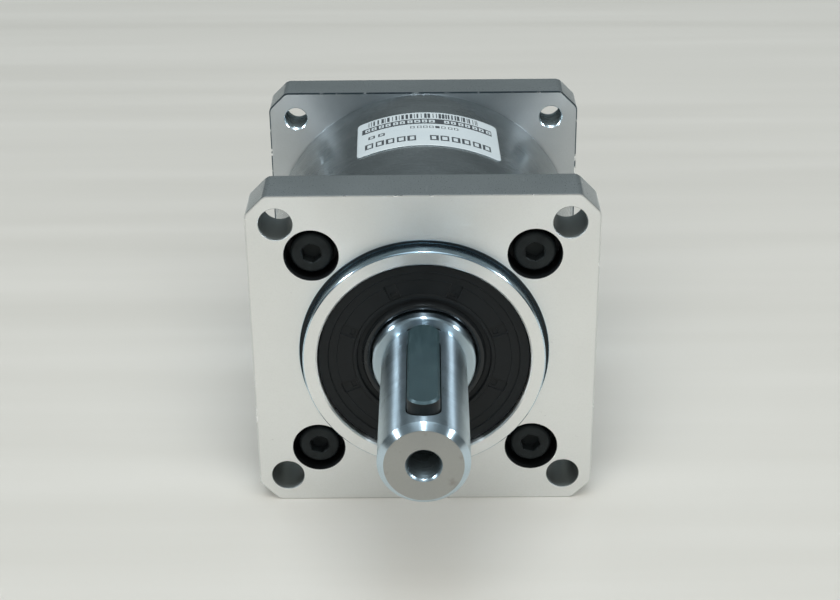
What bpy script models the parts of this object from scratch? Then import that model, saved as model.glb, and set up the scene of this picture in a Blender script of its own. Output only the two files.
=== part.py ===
"""Planetary gearbox with a 57 mm square frame: one stage, ratio 5 to 1, keyed 14 mm output shaft.

Every piece is modelled in the frame of the empty "gearbox": its Z axis is the shaft axis, pointing out of
the output end, its Y axis points up, and Z = 0 is the front face of the output flange. A "depth" is the
distance behind that face, so Z = -depth. The empty then lays the gearbox down along the world's Y axis,
output shaft towards -Y, with the world's origin on the shaft axis at the middle of the overall length.
"""

import math

import bmesh
import bpy
from mathutils import Matrix, Vector

MM = 0.001
FIT_GAP = 0.12 * MM  # radial gap between pieces that fit in each other
FACE_GAP = 0.2 * MM  # axial gap between pieces that sit face to face
LARGE_STEPS = 28  # sides of the large turned pieces
CASE_STEPS = 48  # sides of the gear case
SMALL_STEPS = 24  # sides of bearings, seals and rings
SCREW_STEPS = 12  # sides of screws and their holes
HOLE_STEPS = 16  # sides of the mounting holes
COUNTERBORE_STEPS = 20  # sides of the counterbores
TORUS_SIDES = 5  # sides of the section of an O-ring or a coil spring
OVERCUT = 1.0 * MM  # how far a cutter reaches past the face that it opens

# Output flange
FLANGE_SIDE = 57.0 * MM
FLANGE_THICKNESS = 8.6 * MM
FLANGE_CORNER = 3.3 * MM
CORNER_BLEND = 0.6 * MM
BOSS_RADIUS = 20.0 * MM
BOSS_HEIGHT = 3.0 * MM
BOSS_CHAMFER = 0.35 * MM
MOUNT_SPACING = 47.14 * MM
MOUNT_HOLE_RADIUS = 2.75 * MM

# M4 socket head cap screws of both flanges
SCREW_SPACING = 36.1 * MM
SCREW_RADIUS = 2.0 * MM
SCREW_HEAD_RADIUS = 3.5 * MM
SCREW_HEAD_HEIGHT = 4.0 * MM
SCREW_HEX_ACROSS = 3.0 * MM
SCREW_HEX_DEPTH = 2.0 * MM
COUNTERBORE_RADIUS = 4.43 * MM
FRONT_COUNTERBORE_DEPTH = 5.1 * MM
REAR_COUNTERBORE_DEPTH = 4.5 * MM
FRONT_SCREW_LENGTH = 10.0 * MM
REAR_SCREW_LENGTH = 8.0 * MM
THREAD_GAP = 0.15 * MM
FRONT_TAP_DEPTH = 8.0 * MM
REAR_TAP_DEPTH = 7.0 * MM
HEAD_CHAMFER = 0.35 * MM

# Gear case and input flange
CASE_RADIUS = 28.2 * MM
CASE_LENGTH = 39.4 * MM
INPUT_THICKNESS = 7.3 * MM
INPUT_CORNER = 3.1 * MM
MOTOR_HOLE_RADIUS = 2.1 * MM
SPIGOT_RADIUS = 21.9 * MM
PILOT_RADIUS = 19.1 * MM
PILOT_DEPTH = 2.0 * MM
CAVITY_RADIUS = 16.0 * MM
EDGE_BREAK = 0.25 * MM
FRONT_BEARING_LEDGE = 1.5 * MM  # how far the ledge behind a bearing stands in
INPUT_BEARING_LEDGE = 1.2 * MM
RING_RELIEF = 0.5 * MM  # how far the ring gear's bore stays behind its teeth

# O-rings in the two spigots
GROOVE_DEPTH = 1.2 * MM
GROOVE_WIDTH = 1.6 * MM
FRONT_GROOVE_START = 11.0 * MM
REAR_GROOVE_LEAD = 4.0 * MM  # how far the rear groove starts in front of the input flange
O_RING_INSET = 0.55 * MM  # from the spigot's surface to the middle of the ring's section
O_RING_THICKNESS = 0.5 * MM

# Output shaft
SHAFT_RADIUS = 7.0 * MM
SHAFT_REACH = 34.6 * MM
SHAFT_CHAMFER = 1.0 * MM
SEAT_RADIUS = 8.5 * MM
SEAT_START = 3.5 * MM
CENTRE_HOLE_RADIUS = 2.5 * MM
CENTRE_HOLE_MOUTH = 2.8 * MM
CENTRE_HOLE_DEPTH = 12.0 * MM
CENTRE_HOLE_TIP = 1.2 * MM
MOUTH_DEPTH = 0.9 * MM
SEAT_CHAMFER = 0.3 * MM
RING_GROOVE_START = 3.9 * MM
RING_GROOVE_DEPTH = 0.5 * MM
SHOULDER_RADIUS = 10.1 * MM
KEY_WIDTH = 5.0 * MM
KEY_HEIGHT = 5.0 * MM
KEY_LENGTH = 25.0 * MM
KEY_MIDDLE = 19.3 * MM
KEYWAY_DEPTH = 3.0 * MM
KEY_EDGE = 0.3 * MM
KEY_END_STEPS = 8  # sides of each round end
RETAINING_RING = (8.1 * MM, 10.3 * MM, 4.0 * MM, 4.9 * MM)  # inner and outer radius, and its two depths
RETAINING_GAP = 3.6 * MM
SPACER_RADIUS = 10.0 * MM

# Bearings: bore radius, outer radius, width, and the depth of the front side
FRONT_BEARING = (8.5 * MM, 17.5 * MM, 8.0 * MM, 5.2 * MM)
MIDDLE_BEARING = (8.5 * MM, 15.0 * MM, 7.0 * MM, 14.4 * MM)
INPUT_BEARING = (10.0 * MM, 13.5 * MM, 4.0 * MM, 42.5 * MM)
BALL_COUNT = 6

# Shaft seal
SEAL_RECESS = 1.0 * MM
SEAL_WIDTH = 7.0 * MM
SEAL_EDGE = 0.3 * MM
SEAL_WALL = 1.2 * MM
SEAL_WEB = 1.8 * MM
SEAL_RIM = (1.7 * MM, 2.0 * MM)  # the rim's inner edge, at the front and at the foot of its slope
SEAL_STEP = 0.4 * MM
LIP_TOP = (1.5 * MM, 0.9 * MM)  # how far the dust lip's crown stands out, and how deep its edge lies
LIP_ROOT = (2.2 * MM, 0.5 * MM)
LIP_WAIST = (0.6 * MM, 3.0 * MM)
LIP_EDGE_DEPTH = 4.0 * MM
LIP_END_DEPTH = 4.6 * MM
LIP_BACK = 2.6 * MM
SPRING = (3.2 * MM, 0.55 * MM, 3.9 * MM)  # out from the lip, thickness of its section, depth in the seal

# Gear train
MODULE = 0.8 * MM
ADDENDUM = MODULE
DEDENDUM = 1.25 * MODULE
SUN_TEETH = 12
PLANET_TEETH = 18
RING_TEETH = 48
PRESSURE_ANGLE = math.radians(25)
TOOTH_THINNING = 0.05 * MM
PLANET_ANGLES = [math.radians(90 + 120 * i) for i in range(3)]
CENTRE_DISTANCE = MODULE * (SUN_TEETH + PLANET_TEETH) / 2
PLANET_WIDTH = 10.0 * MM
PLANET_BORE = 3.2 * MM
WASHER_THICKNESS = 0.5 * MM
WASHER_RADIUS = 5.6 * MM
BUSH_INSET = 0.1 * MM

# Carrier
PLATE_RADIUS = 17.9 * MM
PLATE_FRONT = 22.4 * MM
PLATE_THICKNESS = 4.0 * MM
REAR_PLATE_THICKNESS = 3.0 * MM
PIN_RADIUS = 2.5 * MM
POST_RADIUS = 2.9 * MM
POST_CIRCLE = 14.8 * MM
POST_SCREW_RADIUS = 1.5 * MM
POST_HEAD_RADIUS = 2.4 * MM
POST_HEAD_HEIGHT = 1.3 * MM
POST_SCREW_LENGTH = 7.0 * MM
POST_TAP_DEPTH = 8.0 * MM
HEAD_LIFT = 0.1 * MM  # how far a screw head stays off its seat
PIN_HOLE_DEPTH = 2.8 * MM
PIN_INSET = 2.6 * MM
PIN_END_GAP = 0.2 * MM
PLATE_BORE = 5.2 * MM

# Sun gear hub and clamp
SUN_NECK_RADIUS = 3.6 * MM
HUB_RADIUS = 7.0 * MM
HUB_BORE_RADIUS = 4.0 * MM
COLLAR_RADIUS = 13.5 * MM
COLLAR_WIDTH = 5.8 * MM
COLLAR_SLIT = 1.2 * MM
CLAMP_HEIGHT = 10.2 * MM
CLAMP_SCREW_RADIUS = 1.5 * MM
CLAMP_HEAD = (2.6 * MM, 3.0 * MM)  # head radius and height
CLAMP_HEX = (2.5 * MM, 1.5 * MM)  # across flats and depth
CLAMP_SCREW_LENGTH = 10.0 * MM
CLAMP_TAP_END = 6.4 * MM
CLAMP_HEAD_SEAT = 4.2 * MM
CLAMP_RECESS_RADIUS = 2.75 * MM
BEARING_SHOULDER = 1.2 * MM  # how far the hub stands out in front of its bearing
SUN_END = 0.3 * MM  # how far the sun's teeth reach past the planets at each end
SUN_ROOT_OVERLAP = 2.0 * MM
HUB_END_GAP = 0.1 * MM
MOTOR_BORE_START = 43.0 * MM
PLUG_RADIUS = 1.8 * MM
PLUG_INSET = 0.3 * MM
PLUG_LENGTH = 4.0 * MM
PLUG_HEX = (1.3 * MM, 2.0 * MM)  # corner radius and how deep the socket lies

# Label
LABEL_LENGTH = 25.5 * MM
LABEL_WIDTH = 15.8 * MM
LABEL_THICKNESS = 0.12 * MM
LABEL_GAP = 0.05 * MM
LABEL_STEPS = 12
LABEL_MIDDLE = 30.0 * MM
LABEL_OFFSET = math.radians(2.0)
LABEL_TILT = math.radians(-1.5)

# Depths that follow
CASE_FRONT = FLANGE_THICKNESS
CASE_BACK = CASE_FRONT + CASE_LENGTH
BODY_BACK = CASE_BACK + INPUT_THICKNESS
PLATE_BACK = PLATE_FRONT + PLATE_THICKNESS
FIRST_WASHER = PLATE_BACK + FACE_GAP
PLANET_FRONT = FIRST_WASHER + WASHER_THICKNESS + FACE_GAP
SECOND_WASHER = PLANET_FRONT + PLANET_WIDTH + FACE_GAP
REAR_PLATE_FRONT = SECOND_WASHER + WASHER_THICKNESS + FACE_GAP
REAR_PLATE_BACK = REAR_PLATE_FRONT + REAR_PLATE_THICKNESS
SLEEVE_END = PLATE_FRONT - 0.3 * MM
RING_FRONT = PLATE_FRONT - 0.1 * MM
RING_BACK = REAR_PLATE_BACK + 0.5 * MM
COLLAR_FRONT = INPUT_BEARING[3] + INPUT_BEARING[2] + 0.9 * MM
COLLAR_MIDDLE = COLLAR_FRONT + COLLAR_WIDTH / 2
COLLAR_BACK = COLLAR_FRONT + COLLAR_WIDTH
RING_PITCH_RADIUS = MODULE * RING_TEETH / 2


# ---------------------------------------------------------------- scene

for existing in list(bpy.data.objects):
    bpy.data.objects.remove(existing, do_unlink=True)

gearbox = bpy.data.collections.new("planetary_gearbox")
cutters = bpy.data.collections.new("cutters")
cutters.hide_render = True
bpy.context.scene.collection.children.link(gearbox)
bpy.context.scene.collection.children.link(cutters)

frame = bpy.data.objects.new("gearbox", None)
frame.location = (0, (SHAFT_REACH - BODY_BACK) / 2, 0)
frame.rotation_euler = (math.radians(90), 0, 0)
gearbox.objects.link(frame)


def material(name, colour, roughness, metallic=1.0):
    """A Principled material of one plain finish."""
    made = bpy.data.materials.new(name)
    made.use_nodes = True
    shader = made.node_tree.nodes["Principled BSDF"]
    shader.inputs["Base Color"].default_value = (*colour, 1)
    shader.inputs["Roughness"].default_value = roughness
    shader.inputs["Metallic"].default_value = metallic
    made.diffuse_color = (*colour, 1)
    return made


BRIGHT_ALUMINIUM = material("bright_aluminium", (0.80, 0.80, 0.79), 0.3)
DARK_ALUMINIUM = material("dark_aluminium", (0.24, 0.25, 0.25), 0.35)
GROUND_STEEL = material("ground_steel", (0.62, 0.62, 0.60), 0.25)
GEAR_STEEL = material("gear_steel", (0.42, 0.42, 0.43), 0.3)
BLACK_STEEL = material("black_steel", (0.03, 0.03, 0.035), 0.4)
KEY_STEEL = material("key_steel", (0.10, 0.13, 0.14), 0.4)
BEARING_STEEL = material("bearing_steel", (0.70, 0.70, 0.72), 0.15)
BRASS = material("brass", (0.72, 0.55, 0.25), 0.3)
BLACK_RUBBER = material("black_rubber", (0.012, 0.012, 0.013), 0.5, metallic=0.0)
WHITE_LABEL = material("white_label", (0.78, 0.82, 0.82), 0.45, metallic=0.0)


# ---------------------------------------------------------------- helpers


def place(obj, finish=None, location=(0, 0, 0), rotation=(0, 0, 0), helper=False):
    """Links an object in its collection, under the gearbox's empty."""
    (cutters if helper else gearbox).objects.link(obj)
    obj.parent = frame
    obj.location = location
    obj.rotation_euler = rotation
    if helper:
        obj.hide_render = True
        obj.display_type = "WIRE"
    else:
        obj.data.materials.append(finish)
        obj.data.shade_smooth()
        obj.data.set_sharp_from_angle(angle=math.radians(35))
    return obj


def turned(name, outline, steps, finish=None, closed=True, **placing):
    """A turned piece. Its outline holds (radius, depth) points, down the outer side first."""
    mesh = bpy.data.meshes.new(name)
    shape = bmesh.new()
    corners = [shape.verts.new((radius, 0, -depth)) for radius, depth in outline]
    for first, second in zip(corners, corners[1:]):
        shape.edges.new((first, second))
    if closed:
        shape.edges.new((corners[-1], corners[0]))
    shape.to_mesh(mesh)
    shape.free()
    obj = place(bpy.data.objects.new(name, mesh), finish, **placing)
    screw = obj.modifiers.new("turn", "SCREW")
    screw.axis = "Z"
    screw.steps = screw.render_steps = steps
    screw.use_merge_vertices = True
    screw.merge_threshold = 0.000001
    screw.use_smooth_shade = True
    return obj


def ring_outline(outer, inner, start, end):
    """The outline of a plain tube between two depths."""
    return [(outer, start), (outer, end), (inner, end), (inner, start)]


def bar(shape, radius, start, end, centre=(0, 0), segments=SMALL_STEPS, turn=None):
    """Adds a capped cylinder along Z between two depths to a bmesh."""
    middle = Matrix.Translation((centre[0], centre[1], -(start + end) / 2))
    if turn is not None:
        middle = turn @ middle
    bmesh.ops.create_cone(
        shape, cap_ends=True, segments=segments, radius1=radius, radius2=radius,
        depth=end - start, matrix=middle,
    )


def block(shape, size, centre, turn=None):
    """Adds a box to a bmesh."""
    matrix = Matrix.Translation(centre) @ Matrix.Diagonal((*size, 1))
    if turn is not None:
        matrix = turn @ matrix
    bmesh.ops.create_cube(shape, size=1, matrix=matrix)


def finished(name, shape, finish=None, **placing):
    """Turns a bmesh into an object."""
    mesh = bpy.data.meshes.new(name)
    bmesh.ops.recalc_face_normals(shape, faces=shape.faces)
    shape.to_mesh(mesh)
    shape.free()
    return place(bpy.data.objects.new(name, mesh), finish, **placing)


def boolean(obj, helper, operation="DIFFERENCE"):
    modifier = obj.modifiers.new(helper.name, "BOOLEAN")
    modifier.operation = operation
    modifier.solver = "EXACT"
    modifier.object = helper


def prism(name, outlines, start, end, finish=None, **placing):
    """Flat outlines extruded between two depths. The outlines after the first are holes."""
    curve = bpy.data.curves.new(name, "CURVE")
    curve.dimensions = "2D"
    curve.fill_mode = "BOTH"
    curve.extrude = (end - start) / 2
    for outline in outlines:
        spline = curve.splines.new("POLY")
        spline.points.add(len(outline) - 1)
        for point, (x, y) in zip(spline.points, outline):
            point.co = (x, y, 0, 1)
        spline.use_cyclic_u = True
    flat = bpy.data.objects.new(name + "_outline", curve)
    cutters.objects.link(flat)
    bpy.context.view_layer.update()
    evaluated = flat.evaluated_get(bpy.context.evaluated_depsgraph_get())
    mesh = bpy.data.meshes.new_from_object(evaluated)
    bpy.data.objects.remove(flat, do_unlink=True)
    shape = bmesh.new()
    shape.from_mesh(mesh)
    bmesh.ops.remove_doubles(shape, verts=shape.verts, dist=0.000001)
    bmesh.ops.translate(shape, verts=shape.verts, vec=(0, 0, -(start + end) / 2))
    bpy.data.meshes.remove(mesh)
    return finished(name, shape, finish, **placing)


def circle(radius, count, centre=(0, 0)):
    """Points of a circle."""
    angles = [2 * math.pi * i / count for i in range(count)]
    return [(centre[0] + radius * math.cos(a), centre[1] + radius * math.sin(a)) for a in angles]


def around(radius, angle):
    """The point at this radius and angle."""
    return (radius * math.cos(angle), radius * math.sin(angle))


def square_pattern(spacing):
    """The four corners of a square, anticlockwise from the top right."""
    half = spacing / 2
    return [(half, half), (-half, half), (-half, -half), (half, -half)]


def involute(angle):
    return math.tan(angle) - angle


def gear_outline(teeth, addendum, dedendum, thinning, phase, flank_points=1):
    """An involute gear's outline. The phase is the angle of one tooth's middle."""
    pitch = MODULE * teeth / 2
    base = pitch * math.cos(PRESSURE_ANGLE)
    tip, root = pitch + addendum, pitch - dedendum
    start = max(base, root)
    half_at_pitch = math.pi / (2 * teeth) - thinning / pitch
    flank = []
    for step in range(flank_points + 1):
        radius = start + (tip - start) * step / flank_points
        pressure = math.acos(min(1, base / radius))
        half = half_at_pitch + involute(PRESSURE_ANGLE) - involute(pressure)
        flank.append((radius, half))
    if root < start:
        flank.insert(0, (root, flank[0][1] + 0.1 * math.pi / teeth))
    points = []
    for tooth in range(teeth):
        middle = phase + 2 * math.pi * tooth / teeth
        points += [around(radius, middle - half) for radius, half in flank]
        points += [around(radius, middle + half) for radius, half in reversed(flank)]
    return points


def planet_phase(angle):
    """The turn at which a planet at this angle meshes with a sun that has a tooth at angle 0."""
    return angle + math.pi + (SUN_TEETH * angle - math.pi) / PLANET_TEETH


# ---------------------------------------------------------------- flanges and case


def square_plate(name, corner, start, end, finish):
    """A square plate with chamfered corners and broken edges."""
    shape = bmesh.new()
    block(shape, (FLANGE_SIDE, FLANGE_SIDE, end - start), (0, 0, -(start + end) / 2))
    for offset, segments in ((corner, 1), (CORNER_BLEND, 2)):
        upright = [edge for edge in shape.edges if is_upright(edge)]
        bmesh.ops.bevel(shape, geom=upright, offset=offset, segments=segments, profile=0.5, affect="EDGES")
    rims = [edge for edge in shape.edges if not is_upright(edge)]
    bmesh.ops.bevel(shape, geom=rims, offset=EDGE_BREAK, segments=1, affect="EDGES")
    return finished(name, shape, finish)


def is_upright(edge):
    """Whether an edge of a plate runs from its front to its back."""
    return abs(edge.verts[0].co.z - edge.verts[1].co.z) > MM


def make_output_flange():
    plate = square_plate("output_flange", FLANGE_CORNER, 0, FLANGE_THICKNESS, BRIGHT_ALUMINIUM)
    hub = turned(
        "flange_hub",
        [
            (0, -BOSS_HEIGHT),
            (BOSS_RADIUS - BOSS_CHAMFER, -BOSS_HEIGHT),
            (BOSS_RADIUS, BOSS_CHAMFER - BOSS_HEIGHT),
            (BOSS_RADIUS, FLANGE_THICKNESS / 2),
            (SPIGOT_RADIUS, FLANGE_THICKNESS / 2),
            (SPIGOT_RADIUS, SLEEVE_END - EDGE_BREAK),
            (SPIGOT_RADIUS - EDGE_BREAK, SLEEVE_END),
            (0, SLEEVE_END),
        ],
        LARGE_STEPS, closed=False, helper=True,
    )
    boolean(plate, hub, "UNION")
    seat = FRONT_BEARING[1] + FIT_GAP
    front_end = FRONT_BEARING[3] + FRONT_BEARING[2] + FACE_GAP
    rear_seat = MIDDLE_BEARING[1] + FIT_GAP
    rear_start = MIDDLE_BEARING[3] - FACE_GAP
    bore = turned(
        "flange_bore",
        [
            (0, -BOSS_HEIGHT - OVERCUT),
            (seat, -BOSS_HEIGHT - OVERCUT),
            (seat, front_end),
            (rear_seat - FRONT_BEARING_LEDGE, front_end),
            (rear_seat - FRONT_BEARING_LEDGE, rear_start),
            (rear_seat, rear_start),
            (rear_seat, SLEEVE_END + OVERCUT),
            (0, SLEEVE_END + OVERCUT),
        ],
        LARGE_STEPS, closed=False, helper=True,
    )
    boolean(plate, bore)
    boolean(plate, o_ring_groove("flange_o_ring_groove", FRONT_GROOVE_START))
    holes = bmesh.new()
    for centre in square_pattern(MOUNT_SPACING):
        bar(holes, MOUNT_HOLE_RADIUS, -OVERCUT, FLANGE_THICKNESS + OVERCUT, centre, HOLE_STEPS)
    for centre in square_pattern(SCREW_SPACING):
        bar(holes, COUNTERBORE_RADIUS, -OVERCUT, FRONT_COUNTERBORE_DEPTH, centre, COUNTERBORE_STEPS)
    boolean(plate, finished("flange_holes", holes, helper=True))
    shanks = bmesh.new()
    for centre in square_pattern(SCREW_SPACING):
        bar(shanks, SCREW_RADIUS + THREAD_GAP, OVERCUT, FLANGE_THICKNESS + OVERCUT, centre, SCREW_STEPS)
    boolean(plate, finished("flange_screw_holes", shanks, helper=True))


def o_ring_groove(name, start):
    """The cutter of an O-ring's groove in a spigot."""
    outline = ring_outline(SPIGOT_RADIUS + OVERCUT, SPIGOT_RADIUS - GROOVE_DEPTH, start, start + GROOVE_WIDTH)
    return turned(name, outline, LARGE_STEPS, helper=True)


def make_gear_case():
    tip = RING_PITCH_RADIUS - MODULE
    socket = SPIGOT_RADIUS + FIT_GAP
    front, back = CASE_FRONT + FACE_GAP, CASE_BACK - FACE_GAP
    case = turned(
        "gear_case",
        [
            (CASE_RADIUS - EDGE_BREAK, front),
            (CASE_RADIUS, front + EDGE_BREAK),
            (CASE_RADIUS, back - EDGE_BREAK),
            (CASE_RADIUS - EDGE_BREAK, back),
            (socket, back),
            (socket, RING_BACK),
            (tip - RING_RELIEF, RING_BACK),
            (tip - RING_RELIEF, RING_FRONT),
            (socket, RING_FRONT),
            (socket, front),
        ],
        CASE_STEPS, DARK_ALUMINIUM,
    )
    spaces = gear_outline(RING_TEETH, DEDENDUM, ADDENDUM, -TOOTH_THINNING, math.pi / RING_TEETH)
    boolean(case, prism("ring_teeth", [spaces], PLATE_FRONT - OVERCUT, RING_BACK + OVERCUT, helper=True))
    holes = bmesh.new()
    for centre in square_pattern(SCREW_SPACING):
        bar(holes, SCREW_RADIUS + THREAD_GAP, front - OVERCUT, front + FRONT_TAP_DEPTH, centre, SCREW_STEPS)
        bar(holes, SCREW_RADIUS + THREAD_GAP, back - REAR_TAP_DEPTH, back + OVERCUT, centre, SCREW_STEPS)
    boolean(case, finished("case_screw_holes", holes, helper=True))


def make_input_flange():
    plate = square_plate("input_flange", INPUT_CORNER, CASE_BACK, BODY_BACK, DARK_ALUMINIUM)
    start = RING_BACK + FACE_GAP
    spigot = turned(
        "input_spigot",
        [
            (0, start),
            (SPIGOT_RADIUS - EDGE_BREAK, start),
            (SPIGOT_RADIUS, start + EDGE_BREAK),
            (SPIGOT_RADIUS, CASE_BACK + INPUT_THICKNESS / 4),
            (0, CASE_BACK + INPUT_THICKNESS / 4),
        ],
        LARGE_STEPS, closed=False, helper=True,
    )
    boolean(plate, spigot, "UNION")
    seat = INPUT_BEARING[1] + FIT_GAP
    seat_start = INPUT_BEARING[3] - FACE_GAP
    seat_end = INPUT_BEARING[3] + INPUT_BEARING[2] + FACE_GAP
    bore = turned(
        "input_bore",
        [
            (0, start - OVERCUT),
            (seat - INPUT_BEARING_LEDGE, start - OVERCUT),
            (seat - INPUT_BEARING_LEDGE, seat_start),
            (seat, seat_start),
            (seat, seat_end),
            (CAVITY_RADIUS, seat_end),
            (CAVITY_RADIUS, BODY_BACK - PILOT_DEPTH),
            (PILOT_RADIUS, BODY_BACK - PILOT_DEPTH),
            (PILOT_RADIUS, BODY_BACK + OVERCUT),
            (0, BODY_BACK + OVERCUT),
        ],
        LARGE_STEPS, closed=False, helper=True,
    )
    boolean(plate, bore)
    boolean(plate, o_ring_groove("input_o_ring_groove", CASE_BACK - REAR_GROOVE_LEAD))
    holes = bmesh.new()
    for centre in square_pattern(MOUNT_SPACING):
        bar(holes, MOTOR_HOLE_RADIUS, CASE_BACK - OVERCUT, BODY_BACK + OVERCUT, centre, SCREW_STEPS)
    for centre in square_pattern(SCREW_SPACING):
        bar(holes, COUNTERBORE_RADIUS, BODY_BACK - REAR_COUNTERBORE_DEPTH, BODY_BACK + OVERCUT,
            centre, COUNTERBORE_STEPS)
    boolean(plate, finished("input_holes", holes, helper=True))
    shanks = bmesh.new()
    for centre in square_pattern(SCREW_SPACING):
        bar(shanks, SCREW_RADIUS + THREAD_GAP, CASE_BACK - OVERCUT, BODY_BACK - OVERCUT, centre, SCREW_STEPS)
    boolean(plate, finished("input_screw_holes", shanks, helper=True))
    access = bmesh.new()
    bar(access, PLUG_RADIUS + FIT_GAP, -FLANGE_SIDE / 2 - OVERCUT, -CAVITY_RADIUS / 2,
        segments=SCREW_STEPS, turn=access_turn())
    boolean(plate, finished("access_hole", access, helper=True))


def access_turn():
    """Takes the Z axis to the clamp screw's axis, which runs along X."""
    to_screw = Matrix.Translation((0, CLAMP_HEIGHT, -COLLAR_MIDDLE))
    return to_screw @ Matrix.Rotation(math.radians(90), 4, "Y")


# ---------------------------------------------------------------- screws


def socket_screw(name, radius, head_radius, head_height, length, hex_across, hex_depth, finish, **placing):
    """A socket head cap screw along Z, its head's underside at Z = 0 and its head above."""
    screw = turned(
        name,
        [
            (0, -head_height),
            (head_radius - HEAD_CHAMFER, -head_height),
            (head_radius, HEAD_CHAMFER - head_height),
            (head_radius, 0),
            (radius, 0),
            (radius, length),
            (0, length),
        ],
        SCREW_STEPS, finish, closed=False, **placing,
    )
    socket = bmesh.new()
    bar(socket, hex_across / math.sqrt(3), -head_height - OVERCUT, hex_depth - head_height, segments=6)
    boolean(screw, finished(name + "_socket", socket, helper=True, **placing))


def make_flange_screws():
    for number, (x, y) in enumerate(square_pattern(SCREW_SPACING), 1):
        socket_screw(
            f"front_screw_{number}", SCREW_RADIUS, SCREW_HEAD_RADIUS, SCREW_HEAD_HEIGHT, FRONT_SCREW_LENGTH,
            SCREW_HEX_ACROSS, SCREW_HEX_DEPTH, BLACK_STEEL,
            location=(x, y, FACE_GAP - FRONT_COUNTERBORE_DEPTH),
        )
        socket_screw(
            f"rear_screw_{number}", SCREW_RADIUS, SCREW_HEAD_RADIUS, SCREW_HEAD_HEIGHT, REAR_SCREW_LENGTH,
            SCREW_HEX_ACROSS, SCREW_HEX_DEPTH, BLACK_STEEL,
            location=(x, y, REAR_COUNTERBORE_DEPTH - BODY_BACK - FACE_GAP),
            rotation=(math.pi, 0, 0),
        )


# ---------------------------------------------------------------- bearings, seals


def ball_bearing(name, size):
    """A deep-groove ball bearing: outer ring, inner ring, and the balls held in their cage."""
    bore, outer, width, start = size
    end, middle = start + width, start + width / 2
    pitch = (bore + outer) / 2
    ball = (outer - bore) / 4
    land = 0.5 * ball
    track = 1.25 * ball + FACE_GAP
    cage_half, cage_reach = 0.3 * ball, 0.85 * ball
    reach = math.acos(land / track)
    arc = [reach * (i - 1) for i in range(3)]
    outer_track = [(pitch + track * math.cos(a), middle - track * math.sin(a)) for a in arc]
    inner_track = [(pitch - track * math.cos(a), middle + track * math.sin(a)) for a in arc]
    turned(
        name + "_outer_ring",
        [(outer, start), (outer, end), (pitch + land, end), *outer_track, (pitch + land, start)],
        SMALL_STEPS, BEARING_STEEL,
    )
    turned(
        name + "_inner_ring",
        [
            (pitch - land, start), *inner_track, (pitch - land, end),
            (bore + FIT_GAP, end), (bore + FIT_GAP, start),
        ],
        SMALL_STEPS, BEARING_STEEL,
    )
    cage_outline = ring_outline(pitch + cage_half, pitch - cage_half, middle - cage_reach, middle + cage_reach)
    cage = turned(name + "_balls", cage_outline, SMALL_STEPS, BRASS)
    spheres = bmesh.new()
    for i in range(BALL_COUNT):
        x, y = around(pitch, 2 * math.pi * (i + 0.25) / BALL_COUNT)
        bmesh.ops.create_icosphere(
            spheres, subdivisions=1, radius=ball, matrix=Matrix.Translation((x, y, -middle))
        )
    boolean(cage, finished(name + "_spheres", spheres, helper=True), "UNION")


def make_bearings():
    ball_bearing("front_bearing", FRONT_BEARING)
    ball_bearing("middle_bearing", MIDDLE_BEARING)
    ball_bearing("input_bearing", INPUT_BEARING)


def make_seals():
    front = SEAL_RECESS - BOSS_HEIGHT
    outer = FRONT_BEARING[1]
    lip = SEAT_RADIUS + FIT_GAP
    turned(
        "output_seal",
        [
            (outer - SEAL_EDGE, front),
            (outer, front + SEAL_EDGE),
            (outer, front + SEAL_WIDTH),
            (outer - SEAL_WALL, front + SEAL_WIDTH),
            (outer - SEAL_WALL, front + SEAL_WEB),
            (lip + LIP_BACK, front + SEAL_WEB),
            (lip + LIP_ROOT[0], front + LIP_END_DEPTH),
            (lip + LIP_WAIST[0], front + LIP_END_DEPTH),
            (lip, front + LIP_EDGE_DEPTH),
            (lip + LIP_WAIST[0], front + LIP_WAIST[1]),
            (lip, front + LIP_TOP[1]),
            (lip + LIP_TOP[0], front),
            (lip + LIP_ROOT[0], front + LIP_ROOT[1]),
            (outer - SEAL_RIM[1], front + SEAL_STEP),
            (outer - SEAL_RIM[0], front),
        ],
        SMALL_STEPS, BLACK_RUBBER,
    )
    torus("seal_garter_spring", lip + SPRING[0], SPRING[1], front + SPRING[2], GEAR_STEEL)
    groove_middle = GROOVE_WIDTH / 2
    for name, start in (("front_o_ring", FRONT_GROOVE_START), ("rear_o_ring", CASE_BACK - REAR_GROOVE_LEAD)):
        torus(name, SPIGOT_RADIUS - O_RING_INSET, O_RING_THICKNESS, start + groove_middle, BLACK_RUBBER)


def torus(name, radius, thickness, depth, finish):
    """A ring of round section about the shaft axis."""
    angles = [math.pi / 2 - 2 * math.pi * i / TORUS_SIDES for i in range(TORUS_SIDES)]
    section = [(radius + thickness * math.cos(a), depth - thickness * math.sin(a)) for a in angles]
    turned(name, section, SMALL_STEPS, finish)


# ---------------------------------------------------------------- output shaft and carrier


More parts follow.
